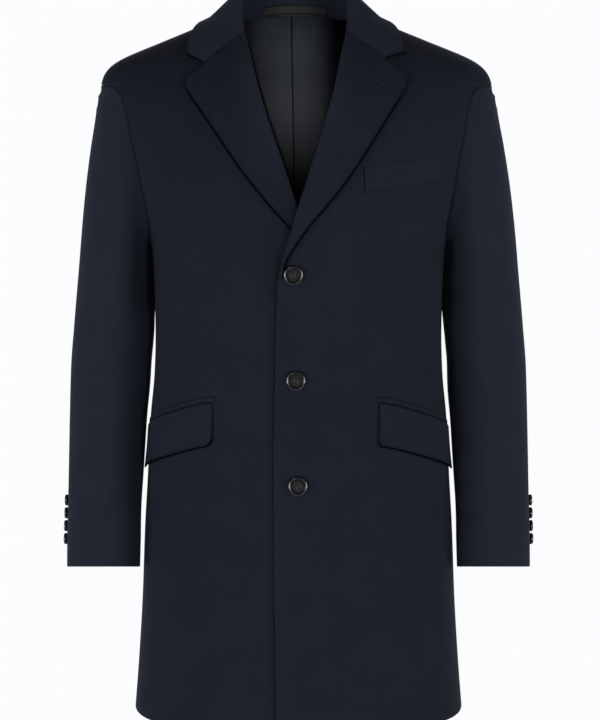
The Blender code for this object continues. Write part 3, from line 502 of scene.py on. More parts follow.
def notch_corner(side):
    roll_z, end_x, end_z = (float(v) for v in lapel_row(0.0, side))
    roll_x = float(edge_x(roll_z))
    return roll_x + (end_x - roll_x) * NOTCH_SHARE[side], roll_z + (end_z - roll_z) * NOTCH_SHARE[side]


def gorge_roll(side):
    """The collar's front end where it turns over the edge of the front, beside the lapel."""
    roll_z = LAPEL[0][0]
    roll_x = float(edge_x(roll_z))
    corner = notch_corner(side)
    along = unit(np.array((corner[0] - roll_x, corner[1] - roll_z)))
    beside = np.array((-along[1], along[0])) * GORGE_GAP
    row = []
    for a, over in (ROLL[0], ((ROLL[0][0] + ROLL[1][0]) / 2, (ROLL[0][1] + ROLL[1][1]) / 2), ROLL[1], ROLL[2], ROLL[3]):
        x, z = roll_x + along[0] * a + beside[0], roll_z + along[1] * a + beside[1]
        row.append(torso(t_at(x, z), z, over))
    return np.array(row)


def front_end_of_collar(start, share, side):
    """Along the gorge seam to the notch, then out to the collar's tip."""
    corner_x, corner_z = notch_corner(side)
    corner_z += GORGE_GAP
    corner = torso(t_at(corner_x, corner_z), corner_z, COLLAR_LIE)
    tip_x, tip_z = COLLAR_TIP[side]
    tip = torso(t_at(tip_x, tip_z), tip_z, COLLAR_LIE)
    bend = 0.68
    if share <= bend:
        return start + (corner - start) * share / bend
    return corner + (tip - corner) * (share - bend) / (1 - bend)


def armhole_ring(angles):
    """The armhole's own loop, by angle: 0 at the tip, 90 at the front, 180 at the pit."""
    middle, half = (ARM_TIP_Z + ARM_PIT_Z) / 2, (ARM_TIP_Z - ARM_PIT_Z) / 2
    z = middle + (half - ARM_INSET) * np.cos(angles)
    t = armhole_reach(np.cos(angles), -ARM_INSET)
    return np.where((np.sin(angles) >= 0)[:, None], torso(t, z), torso(t, z, back=True))


def sleeve_ring(row, angles):
    """Ring of the sleeve at a row of its table, which may lie between two rows."""
    rows = np.arange(len(SLEEVE))
    outer_x, outer_z, gap, inner_z, depth, mid_y, tilt = (through(rows, column(SLEEVE, SLEEVE_COLUMNS, name), row) for name in SLEEVE_COLUMNS)
    inner_x = size("half_width", inner_z) + gap
    middle = np.array(((outer_x + inner_x) / 2, mid_y, (outer_z + inner_z) / 2))
    reach = np.array(((outer_x - inner_x) / 2, 0, (outer_z - inner_z) / 2))
    lean = math.radians(float(tilt))
    forward = np.array((0, -math.cos(lean), math.sin(lean))) * depth
    return middle + np.cos(angles)[:, None] * reach + np.sin(angles)[:, None] * forward


def sleeve_row_at(z, angle):
    """The row of the lower sleeve's table that is at height z, at an angle round the sleeve."""
    rows = np.linspace(8, len(SLEEVE) - 1, 200)
    heights = np.array([sleeve_ring(row, np.array((angle,)))[0, 2] for row in rows])
    return float(np.interp(-z, -heights, rows))


def sleeve_angles(row, fraction, upper):
    """Angles across the top sleeve or the under sleeve, whose seams turn on the way down."""
    down = row / (len(SLEEVE) - 1)
    hind = math.radians(HIND_SEAM[0] + (HIND_SEAM[1] - HIND_SEAM[0]) * smoothstep(0, 1, down))
    fore = math.radians(FORE_SEAM[0] + (FORE_SEAM[1] - FORE_SEAM[0]) * down)
    gap = SEAM / 0.035
    if upper:
        return hind + gap + (fore - hind - 2 * gap) * fraction
    return fore + gap + (hind + 2 * math.pi - fore - 2 * gap) * fraction


def sleeve(upper, rows, fraction, side):
    grid = []
    for row in rows:
        angles = sleeve_angles(row, fraction, upper)
        ring = sleeve_ring(row, angles)
        stay = max(0.0, 1 - row / SLEEVE_SETTLE) ** 2
        ring = ring + stay * (armhole_ring(angles) - sleeve_ring(0, angles))
        lying = np.exp(-(((np.degrees(angles) % 360) - INNER_REST_TURN) / 30.0) ** 2) * smoothstep(*INNER_REST_Z, ring[:, 2]) * smoothstep(0.5, 4.0, row)
        ring[:, 0] -= INNER_REST * lying
        ring[:, 0] += WEDGE[side] * np.exp(-(((np.degrees(angles) % 360) - 150.0) / 28.0) ** 2) * smoothstep(-0.385, -0.350, ring[:, 2]) * np.clip((-0.205 - ring[:, 2]) / 0.135, 0, 1) * smoothstep(0.5, 4.0, row)
        ring[:, 0] += INNER_OPEN[side] * np.exp(-(((np.degrees(angles) % 360) - 190.0) / 55.0) ** 2) * (1 - smoothstep(-0.412, -0.372, ring[:, 2])) * smoothstep(-0.50, -0.43, ring[:, 2])
        close = lying > 0.02
        if close.any():
            ring[close] = clear_of_body(ring[close], 0.0006)
        grid.append(ring)
    grid = np.array(grid)
    first = grid[0]
    out = outward(first)[0]
    tucked = [first - out * (0.0045 * k) + unit(first - grid[3]) * (0.0025 * k) for k in (1.0, 0.6, 0.25)]
    return np.concatenate((np.array(tucked), grid))


# ------------------------------------------------------------------ what lies on the panels
def round_from(x_start, z, lengths):
    """t after going a length round the body from x_start towards the side, at height z."""
    t = np.linspace(t_at(x_start, z), 0.0, 160)
    p = torso(t, np.full_like(t, z))
    run = np.concatenate(([0], np.cumsum(np.linalg.norm(np.diff(p, axis=0), axis=1))))
    return np.interp(lengths, run, t)


def patch(x_start, top_z, alongs, downs, slant, lie, lift=None, depth=None):
    """Grid on the front: alongs go round the body, downs go down it, slant(along) drops the line.

    With depth(along), downs are shares of it."""
    grid = []
    for down in downs:
        row = []
        for along in alongs:
            drop = down if depth is None else down * depth(along)
            z = top_z - slant(along) - drop
            t = float(round_from(x_start, z, along))
            p = torso(t, z)
            extra = 0.0 if lift is None else float(lift(p[0], z))
            row.append(torso(t, z, lie(along, drop) + extra))
        grid.append(row)
    return np.array(grid)


def flap_slant(along):
    """Drop of the pocket's line: level at its front corner, then slanting down to the side."""
    run = max(along, 0.0)
    return FLAP_SLOPE * (run - FLAP_HEEL * (1 - math.exp(-run / FLAP_HEEL)))


def flap(side, alongs, downs):
    def lie(along, down):
        return FLAP_LIE + FLAP_STAND * (down / FLAP_DEPTH) ** 2

    def depth(along):
        short = max(FLAP_CORNER[side] - along, 0.0)
        return FLAP_DEPTH - FLAP_CORNER[side] + math.sqrt(FLAP_CORNER[side] ** 2 - short**2)

    return patch(FLAP_FRONT_X[side], FLAP_TOP_Z, alongs, downs, flap_slant, lie, left_lift if side == "left" else None, depth)


def jet(side, alongs, downs):
    return patch(FLAP_FRONT_X[side] - JET_OVERRUN, FLAP_TOP_Z, alongs, -JET_HEIGHT + (JET_HEIGHT - 0.0008) * downs, lambda along: flap_slant(along - JET_OVERRUN),
                 lambda along, down: JET_LIE, left_lift if side == "left" else None)


def welt(alongs, downs):
    return patch(WELT_X, WELT_TOP_Z, alongs, downs * WELT_HEIGHT, lambda along: -WELT_SLOPE * along,
                 lambda along, down: WELT_LIE, left_lift)


def back_lining(side, downs, acrosses):
    """Half of the lining, inside the back from the neck seam down; the left half's fold laps over the right half."""
    z = (LINING_TOP_Z + (LINING_LOW_Z - LINING_TOP_Z) * downs)[:, None]
    start = -LINING_LAP if side == "left" else -0.014
    t_in = t_at(np.full_like(z, start), z)
    t = t_in + (LINING_SIDE - t_in) * acrosses[None, :]
    t, z = np.broadcast_arrays(t, z)
    p = torso(t, z, back=True)
    z = z + LINING_ARCH * np.exp(-((p[..., 0] / 0.036) ** 2)) * (1 - smoothstep(0.0, 0.05, LINING_TOP_Z - z))
    hang = smoothstep(0.0, 0.06, LINING_TOP_Z - z)
    gap = 0.0006 + 0.0034 * hang
    if side == "left":
        gap = gap + 0.0012 * np.exp(-((p[..., 0] + LINING_LAP) / 0.010) ** 2)
    else:
        gap = gap - 0.0010 * (1 - smoothstep(0.000, 0.016, p[..., 0])) * hang
    sway = sum(depth * np.sin(p[..., 0] / width + turn + z * lean) for width, depth, turn, lean in LINING_SWAY[side])
    return torso(t, z, -(CLOTH + gap) - sway * hang, back=True)


def hanger_loop(alongs, edges):
    """Band across the back neck, arched up between its two ends."""
    rows = []
    for edge in edges:
        row = []
        for along in alongs:
            x = LOOP_LENGTH * along
            z = LOOP_Z + LOOP_WIDTH * edge + LOOP_ARCH * (1 - (2 * along) ** 2)
            y = COLLAR[0][1] - LOOP_CLEAR - NECK_CURVE * x * x - LOOP_BOW * (1 - (2 * along) ** 2)
            row.append((x, y, z))
        rows.append(row)
    return np.array(rows)


# ------------------------------------------------------------------ fine cloth
EDGE_STEPS = (0.0, 0.00022, 0.0006, 0.0011, 0.0018, 0.0030)  # distances from a cut edge where the shell needs points
SHOWN = []  # every piece, in order of making
ALONG_FIRST = (slice(None), slice(0, 1))  # a panel's length is taken along its front edge or centre seam
BELOW_HEAD = (slice(48, None), slice(None))  # and a sleeve's width below its head


def closely(width, step):
    """Fractions 0 to 1 across a width: close together at both edges, then about step apart."""
    near = np.array(EDGE_STEPS) / width
    inside = max(int(round((1 - 2 * near[-1]) * width / step)), 2)
    return np.concatenate((near[:-1], np.linspace(near[-1], 1 - near[-1], inside + 1), 1 - near[:-1][::-1]))


def run_along(p, axis):
    """Length along the rows or columns of a grid, from its first edge."""
    steps = np.linalg.norm(np.diff(p, axis=axis), axis=-1)
    total = np.cumsum(steps, axis=axis)
    start = np.zeros_like(total.take([0], axis=axis))
    return np.concatenate((start, total), axis=axis)


def grid_normals(p, flip):
    n = unit(np.cross(np.gradient(p, axis=1), np.gradient(p, axis=0)))
    return -n if flip else n


def creased(p, n, rows):
    """p moved along n by soft troughs and ridges. Each row: two ends, how wide, how deep."""
    moved = np.zeros(p.shape[:2])
    for start, end, width, depth in rows:
        a, b = np.array(start), np.array(end)
        line = b - a
        length = np.linalg.norm(line)
        share = np.clip(((p - a) @ line) / length**2, -0.25, 1.25)
        away = np.linalg.norm(p - (a + share[..., None] * line), axis=-1)
        fade = smoothstep(-0.25, 0.25, share) * (1 - smoothstep(0.70, 1.25, share))
        profile = (1 - 0.9 * (away / width) ** 2) * np.exp(-0.9 * (away / width) ** 2)
        moved += depth * profile * fade
    return p + n * moved[..., None]


def edge_angles(p):
    """How squarely the grid's lines meet its first and last column and its first and last row."""
    def sines(edge, inner, axis):
        along = unit(np.gradient(edge, axis=0))
        return np.expand_dims(np.clip(np.linalg.norm(np.cross(along, unit(inner - edge)), axis=-1), 0.2, 1), axis)

    return sines(p[:, 0], p[:, 4], 1), sines(p[:, -1], p[:, -5], 1), sines(p[0], p[4], 0), sines(p[-1], p[-5], 0)


def shell(name, node, grid, thickness, slot, flip=False, roll=None, creases=(), edge_shading=(0, 0, 0, 0), edge_shade_widths=(EDGE_SHADE_WIDTH,) * 4, painted_light=1.0, measured=(slice(None), slice(None))):
    """Closed cloth shell on a grid of its outer face, with rounded edges and a UV map in metres.

    rims say how strongly painted shade darkens the first and last column and the first and last row,
    tone how much lighter or darker the whole piece is painted, as painted light and shade, and measured the rows and
    columns that give the width and the length of its cut."""
    rows, cols = grid.shape[:2]
    p = leaned(grid)
    n = grid_normals(p, flip)
    if creases:
        p = creased(p, n, creases)
        n = grid_normals(p, flip)
    u, v = run_along(p, 1), run_along(p, 0)
    sides = (u, u[:, -1:] - u, v, v[-1:] - v)
    edge = np.minimum.reduce(sides)
    first_col, last_col, first_row, last_row = (np.asarray(r, float) for r in edge_shading)
    deep = (first_col.reshape(-1, 1), last_col.reshape(-1, 1), first_row.reshape(1, -1), last_row.reshape(1, -1))
    square = edge_angles(p)
    # strength of the painted shade along the edges and seams
    rim = np.maximum.reduce([np.clip(1.25 - 1.25 * d * a / w, 0, 1) * k for d, a, k, w in zip(sides, square, deep, edge_shade_widths)]).reshape(-1)
    q = np.clip(1 - edge / (roll or thickness * 0.7), 0, 1)
    sink = thickness / 2 * (1 - np.sqrt(1 - q * q))
    outer = (p - n * sink[..., None]).reshape(-1, 3)
    inner = (p - n * (thickness - sink)[..., None]).reshape(-1, 3)
    index = np.arange(rows * cols).reshape(rows, cols)
    behind = index.copy()
    free = np.zeros((rows, cols), bool)
    free[1:-1, 1:-1] = True
    behind[free] = rows * cols + np.arange(free.sum())
    points = np.concatenate((outer, inner[free.reshape(-1)]))
    quads = [np.stack((k[:-1, :-1], k[:-1, 1:], k[1:, 1:], k[1:, :-1]), -1).reshape(-1, 4) for k in (index, behind)]
    if flip:
        quads[0] = quads[0][:, ::-1]
    else:
        quads[1] = quads[1][:, ::-1]
    shade = np.asarray(painted_light, float)
    shade = np.broadcast_to(shade.reshape(-1, 1) if shade.ndim < 2 else shade, (rows, cols)).reshape(-1)
    uv = np.stack((u, v), -1).reshape(-1, 2)
    uv = np.concatenate((uv, uv[free.reshape(-1)]))
    obj = mesh_object(name, points, np.concatenate(quads), slot, uv)
    # these attributes carry painted shade along the edges and seams, and painted light and shade over the whole piece
    obj.data.attributes.new("rim", "FLOAT", "POINT").data.foreach_set("value", np.concatenate((rim, 0 * rim[free.reshape(-1)])).astype(np.float32))
    obj.data.attributes.new("painted_light", "FLOAT", "POINT").data.foreach_set("value", np.concatenate((shade, shade[free.reshape(-1)])).astype(np.float32))
    area = float(np.linalg.norm(np.cross(p[:-1, 1:] - p[:-1, :-1], p[1:, :-1] - p[:-1, :-1]), axis=-1).sum())
    obj["cut"] = (float(u[measured[0], -1].max()), float(v[-1, measured[1]].max()), area)
    if node:
        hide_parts(node)
    return obj


def mesh_object(name, points, faces, slot, uv=None):
    mesh = bpy.data.meshes.new(name)
    mesh.from_pydata(points.tolist(), [], faces.tolist())
    mesh.polygons.foreach_set("use_smooth", np.ones(len(mesh.polygons), bool))
    if uv is not None:
        corner = np.empty(len(mesh.loops), np.int32)
        mesh.loops.foreach_get("vertex_index", corner)
        mesh.uv_layers.new(name="UVMap").data.foreach_set("uv", uv[corner].astype(np.float32).reshape(-1))
    mesh.materials.append(MATERIALS[slot])
    obj = bpy.data.objects.new(name, mesh)
    bpy.context.scene.collection.objects.link(obj)
    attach(obj, "root")
    SHOWN.append(obj)
    return obj


# ------------------------------------------------------------------ the cloth pieces
def panel_heights():
    skirt = HEM_Z + np.array(EDGE_STEPS)
    rise = np.linspace(skirt[-1], -0.292, 112)[1:]
    arm = armhole_heights(56)
    top = np.linspace(ARM_TIP_Z, NECK_POINT_Z - 0.0032, 24)[1:]
    near = NECK_POINT_Z - np.array(EDGE_STEPS[1:-1])[::-1]
    return np.concatenate((skirt, rise, arm[arm > -0.2905], top[top > arm[-1] + 0.0005], near))


def make_fronts():
    z = panel_heights()
    across = closely(0.20, 0.0034)
    left, right = front_panel("left", z, across), front_panel("right", z, across)
    rows = np.append(z, NECK_POINT_Z)
    # strengths of painted shade along the side seam and armhole, and along the left front's edge below the lapel
    seam = np.where(rows > ARM_TIP_Z, 0.15, np.where(rows > ARM_PIT_Z, 0.15 + 0.65 * smoothstep(-0.10, -0.24, rows), 0.3))
    front = np.where(rows < -0.30, 0.75, 0.0)
    # painted shade: each front darker towards its top
    tones = {side: low + (top - low) * smoothstep(-0.38, -0.10, rows) for side, (top, low) in PAINTED_LIGHT_TONES["front"].items()}
    a = shell("front_left_cloth", "front_left", left, CLOTH, "wool", creases=CREASES["front_left"], edge_shading=(front, seam, 0, 0), edge_shade_widths=FRONT_EDGE_SHADE, painted_light=tones["left"], measured=ALONG_FIRST)
    b = shell("front_right_cloth", "front_right", mirrored(right), CLOTH, "wool", flip=True, creases=CREASES["front_right"], edge_shading=(0, seam, 0, 0), edge_shade_widths=FRONT_EDGE_SHADE, painted_light=tones["right"], measured=ALONG_FIRST)


def make_backs():
    z = panel_heights()
    z = z[z < NECK_SEAM_Z - 0.0005]
    across = closely(0.20, 0.0040)
    back = back_panel(z, across)
    # strengths of painted shade along the centre back seam and the side seam
    edge_shading = (0.4, 0.3, 0, 0)
    a = shell("back_left_cloth", "back_left", back, CLOTH, "wool", flip=True, creases=CREASES["back_left"], edge_shading=edge_shading, painted_light=PAINTED_LIGHT_TONES["back"], measured=ALONG_FIRST)
    b = shell("back_right_cloth", "back_right", mirrored(back), CLOTH, "wool", creases=CREASES["back_right"], edge_shading=edge_shading, painted_light=PAINTED_LIGHT_TONES["back"], measured=ALONG_FIRST)


def lapel_fine(side, downs, acrosses):
    """The turned-back lapel, with an even curve round the edge of the front."""
    rows = []
    turn = np.radians(np.linspace(222, 90, 11))
    for fraction in downs:
        roll_z, end_x, end_z = (float(v) for v in lapel_row(fraction, side))
        roll_x = float(edge_x(roll_z))
        width = math.hypot(end_x - roll_x, end_z - roll_z)
        tuck = float(smoothstep(0.40, 0.62, fraction)) if side == "right" else 0.0
        rise = LAPEL_RISE - LAPEL_TUCK * tuck
        lie = LAPEL_LIE - 0.0004 * tuck
        ending = float(smoothstep(0.78, 1.0, fraction)) if side == "left" else 0.0
        rise, lie = rise - 0.0022 * ending, lie - 0.0008 * ending
        along = 0.0010 + (ROLL_REACH - 0.0030 * ending) * np.cos(turn)
        over = 0.0014 + 0.0038 * np.sin(turn)
        over = np.where(over > 0, over * rise / over[-1], over)
        share = along / width
        start = share[-1]
        flat = start + (1 - start) * acrosses
        belly = LAPEL_BELLY * (1 - tuck) * np.sin(np.pi * np.clip(acrosses, 0, 1) ** 0.8) ** 2
        share = np.concatenate((share[:-1], flat))
        lift = np.concatenate((over[:-1], rise + (lie - rise) * smoothstep(0, 1, acrosses) + belly))
        rows.append(np.stack((roll_x + (end_x - roll_x) * share, roll_z + (end_z - roll_z) * share, lift), -1))
    grid = np.array(rows)
    x, z, lift = grid[..., 0], grid[..., 1], grid[..., 2]
    if side == "left":
        lift = lift + left_lift(x, z)
    return torso(t_at(x, z), z, lift)


def make_lapels():
    across = closely(0.10, 0.0026)
    left = lapel_fine("left", closely(0.30, 0.0030), across)
    right = lapel_fine("right", closely(0.30, 0.0030) * RIGHT_LAPEL_END, across)
    count = left.shape[1]
    # strengths of painted shade along the gorge and the free edge; on the left lapel it fades out just above the top
    # button
    gorge = 0.22 + 0.18 * smoothstep(0.60, 0.68, np.linspace(0, 1, count))
    downs = closely(0.30, 0.0030)
    free = 0.50 + 0.50 * smoothstep(0.02, 0.30, downs)
    fading = free * (1 - smoothstep(0.90, 0.985, downs))
    a = shell("lapel_left_cloth", "lapel_left", left, FACED, "wool", flip=True, roll=0.0020, edge_shading=(0, fading, gorge, 0), edge_shade_widths=LAPEL_EDGE_SHADE, painted_light=PAINTED_LIGHT_TONES["lapel_left"])
    b = shell("lapel_right_cloth", "lapel_right", mirrored(right), FACED, "wool", roll=0.0020, edge_shading=(0, free, gorge, 0.5), edge_shade_widths=LAPEL_EDGE_SHADE, painted_light=PAINTED_LIGHT_TONES["lapel_right"])


def curve_through(points, count):
    """Even points along a smooth line through a few."""
    points = np.array(points)
    run = np.concatenate(([0.0], np.cumsum(np.linalg.norm(np.diff(points, axis=0), axis=1))))
    tangent = np.gradient(points, run, axis=0)
    s = np.linspace(0, run[-1], count)
    i = np.clip(np.searchsorted(run, s, side="right") - 1, 0, len(run) - 2)
    h = (run[i + 1] - run[i])[:, None]
    f = ((s - run[i]) / (run[i + 1] - run[i]))[:, None]
    return (
        points[i] * (1 + 2 * f) * (1 - f) ** 2
        + tangent[i] * h * f * (1 - f) ** 2
        + points[i + 1] * f * f * (3 - 2 * f)
        + tangent[i + 1] * h * f * f * (f - 1)
    )


def collar_fine(arounds, stand_parts, falls):
    rows = np.linspace(0, 1, len(COLLAR))
    both = np.concatenate((-rows[:0:-1], rows))

    def swept(name, s):
        values = column(COLLAR, COLLAR_COLUMNS, name)
        sign = -1 if name.endswith("_x") else 1
        return through(both, np.concatenate((sign * values[:0:-1], values)), s)

    def fall_of(shoulder, edge, s):
        f = falls[:, None]
        return shoulder + (edge - shoulder) * f + np.array((0, 0, COLLAR_CROWN)) * f * (1 - f) * 4 * (1 - abs(s))

    def stand_of(row, fall):
        line = curve_through(np.concatenate((row, fall[[len(fall) // 5, len(fall) // 2]])), 240)
        stop = np.linalg.norm(line - row[-1], axis=1).argmin()
        run = np.concatenate(([0.0], np.cumsum(np.linalg.norm(np.diff(line[: stop + 1], axis=0), axis=1))))
        want = stand_parts * run[-1]
        return np.stack([np.interp(want, run, line[: stop + 1, k]) for k in range(3)], -1)

    ends = {}
    for sign, side in ((-1, "right"), (1, "left")):
        row = gorge_roll(side)
        fall = np.array([front_end_of_collar(row[-1], f, side) for f in falls])
        ends[sign] = np.concatenate((stand_of(row, fall), fall[1:])) * (sign, 1, 1)
    grid = []
    for s in arounds:
        neck, roll, edge = (np.array([float(swept(f"{part}_{axis}", s)) for axis in "xyz"]) for part in ("neck", "roll", "edge"))
        out = unit(edge - roll)
        inside = roll - 0.0022 * np.array((out[0], out[1], 0.0)) + np.array((0, 0, -0.0030))
        row = np.array([neck, (neck + inside) / 2 + (inside - neck) * 0.05, inside, roll, roll + 0.0032 * out + np.array((0, 0, 0.0004))])
        fall = fall_of(row[-1], edge, s)
        section = np.concatenate((stand_of(row, fall), fall[1:]))
        towards = float(smoothstep(COLLAR_END_FROM, 1.0, abs(s)))
        if towards > 0:
            section = section + (ends[1 if s > 0 else -1] - section) * towards
        grid.append(section)
    grid = np.array(grid)
    first = len(stand_parts)
    for row in grid:
        low = np.arange(len(row)) >= first
        low &= row[:, 2] < 0.004
        row[low] = clear_of_body(row[low], COLLAR_LIE)
        row[-1:] = clear_of_body(row[-1:], COLLAR_LIE, onto=True)
    return grid


def make_collar():
    falls = closely(0.085, 0.0022)
    falls = np.sort(np.append(falls[np.abs(falls - 0.68) > 0.012], 0.68))
    stand = closely(0.050, 0.0014)
    around = closely(0.46, 0.0036) * 2 - 1
    grid = collar_fine(around, stand, falls)
    # strengths of painted shade along the fall's free edge, stronger towards its front ends, and along the gorge and
    # notch
    free = 0.25 + 0.45 * smoothstep(0.86, 1.0, np.abs(around))
    notch = np.concatenate((np.full(len(stand), 0.2), 0.2 + 0.8 * smoothstep(0.66, 0.72, falls[1:])))
    # painted light and shade: the fall painted lighter than the inside of the stand
    turning = np.concatenate((smoothstep(0.55, 1.0, stand), np.ones(len(falls) - 1)))
    painted_light = np.broadcast_to(PAINTED_LIGHT_TONES["stand"] + (PAINTED_LIGHT_TONES["collar"] - PAINTED_LIGHT_TONES["stand"]) * turning, grid.shape[:2])
    obj = shell("collar_cloth", "collar", grid, FACED, "wool", flip=True, roll=0.0020, edge_shading=(0, free, notch, notch), edge_shade_widths=COLLAR_EDGE_SHADE, painted_light=painted_light)


def make_sleeves():
    last = len(SLEEVE) - 1
    head = np.concatenate((np.array((0.0, 0.03, 0.08, 0.16, 0.28, 0.45)), np.linspace(0.6, 6.0, 46)))
    arm = np.linspace(6.0, last - 0.06, 92)[1:]
    cuff = last - np.array((0.045, 0.03, 0.018, 0.008, 0.0))
    rows = np.concatenate((head, arm, cuff))
    for side in ("left", "right"):
        for upper, width, word in ((True, 0.22, "top"), (False, 0.13, "under")):
            across = closely(width, 0.0032)
            grid = sleeve(upper, rows, across, side)
            # strengths of painted shade along the armhole seam, stronger towards the front, and weaker along the two
            # sleeve seams; the sleeves are also painted lighter
            head = 0.40 + 0.60 * smoothstep(25, 80, np.degrees(sleeve_angles(0, across, upper))) if upper else 0.95
            node = f"sleeve_{side}_{word}"
            obj = shell(node + "_cloth", node, grid if side == "left" else mirrored(grid), CLOTH, "wool", flip=side == "right", creases=CREASES[node], edge_shading=(0.2, 0.12, head, 0) if upper else (0.12, 0.2, head, 0), edge_shade_widths=SLEEVE_EDGE_SHADE, painted_light=PAINTED_LIGHT_TONES["sleeve"], measured=BELOW_HEAD)


def make_pockets():
    for side in ("left", "right"):
        flip = side == "left"
        shape = (lambda g: g) if flip else mirrored
        corner = FLAP_CORNER[side] * (1 - np.cos(np.linspace(0, math.pi / 2, 14)))
        alongs = np.concatenate((corner[:-1], np.linspace(corner[-1], FLAP_LENGTH - 0.003, 46), FLAP_LENGTH - np.array(EDGE_STEPS[:-1])[::-1]))
        grid = flap(side, alongs, closely(FLAP_DEPTH, 0.0024))
        # painted shade along the edges of flap, jet and welt, darkest along the flap's bottom edge
        obj = shell(f"flap_{side}_cloth", f"flap_{side}", shape(grid), FLAP_WALL, "wool", flip=flip, roll=0.0022, edge_shading=(0.40, 0.2, 0.55, 1.0), edge_shade_widths=FLAP_EDGE_SHADE)
        grid = jet(side, closely(FLAP_LENGTH + JET_OVERRUN, 0.0034) * (FLAP_LENGTH + JET_OVERRUN), closely(JET_HEIGHT, 0.0012))
        strip = shell(f"jet_{side}_cloth", f"jet_{side}", shape(grid), JET_WALL, "wool", flip=flip, roll=0.0012, edge_shading=(0.4, 0.2, 0.45, 0.5))
    grid = welt(closely(WELT_LENGTH, 0.0030) * WELT_LENGTH, closely(WELT_HEIGHT, 0.0026))
    obj = shell("chest_welt_cloth", "chest_welt", grid, WELT_WALL, "wool", flip=True, roll=0.0016, edge_shading=(0.7, 0.1, 0.0, 0.5))


def make_lining():
    downs, acrosses = closely(0.35, 0.0045), closely(0.18, 0.0028)
    for side, flip in (("left", True), ("right", False)):
        grid = back_lining(side, downs, acrosses)
        x, z = grid[..., 0], grid[..., 2]
        near, far = LINING_SHADE[side]
        # painted shadow: the lining darker towards its sides and lower down, with painted shade along the left half's
        # fold
        shade = (1 - 0.85 * smoothstep(near, far, x)) * (1 - 0.85 * smoothstep(-0.175, -0.255, z))
        grid = grid if side == "left" else mirrored(grid)
        obj = shell(f"lining_{side}_cloth", f"lining_{side}", grid, LINING_WALL, "lining", flip=flip, edge_shading=(0.95 if side == "left" else 0, 0, 0, 0), edge_shade_widths=LINING_EDGE_SHADE, painted_light=shade)


def make_loop():
    alongs = np.concatenate((closely(LOOP_LENGTH, 0.0016) - 0.5,))
    obj = shell("hanger_loop_ribbon", "hanger_loop", hanger_loop(alongs, closely(LOOP_WIDTH, 0.0009) - 0.5), LOOP_WALL, "loop", flip=False, roll=0.0008)


# ------------------------------------------------------------------ buttons and stitches
def tube(path, radius, sides=7):
    """Points and faces of a round thread along a path, closed at both ends."""
    path = np.array(path)
    ahead = unit(np.gradient(path, axis=0))
    side = unit(np.cross(ahead, (0.31, 0.52, 0.79)))
    up = np.cross(side, ahead)
    angle = np.linspace(0, 2 * math.pi, sides, endpoint=False)
    taper = np.ones(len(path))
    taper[[0, -1]] = 0.45
    ring = path[:, None] + radius * taper[:, None, None] * (np.cos(angle)[None, :, None] * side[:, None] + np.sin(angle)[None, :, None] * up[:, None])
    count = len(path)
    points = np.concatenate((ring.reshape(-1, 3), path[[0, -1]]))
    faces = []
    for i in range(count - 1):
        for k in range(sides):
            a, b = i * sides + k, i * sides + (k + 1) % sides
            faces.append((a, b, b + sides, a + sides))
    for k in range(sides):
        faces.append((count * sides, (k + 1) % sides, k, k))
        faces.append((count * sides + 1, (count - 1) * sides + k, (count - 1) * sides + (k + 1) % sides, (count - 1) * sides + (k + 1) % sides))
    return points, faces


def joined(parts):
    points, faces, offset = [], [], 0
    for p, f in parts:
        points.append(np.asarray(p))
        faces += [tuple(dict.fromkeys(i + offset for i in face)) for face in f]
        offset += len(p)
    return np.concatenate(points), faces


def placed(at, out):
    """Frame on the cloth: across, up, out."""
    out = np.asarray(out, float) / np.linalg.norm(out)
    side = unit(np.cross((0, 0, 1), out))
    place = np.eye(4)
    place[:3, 0], place[:3, 1], place[:3, 2], place[:3, 3] = side, np.cross(out, side), out, at
    return place


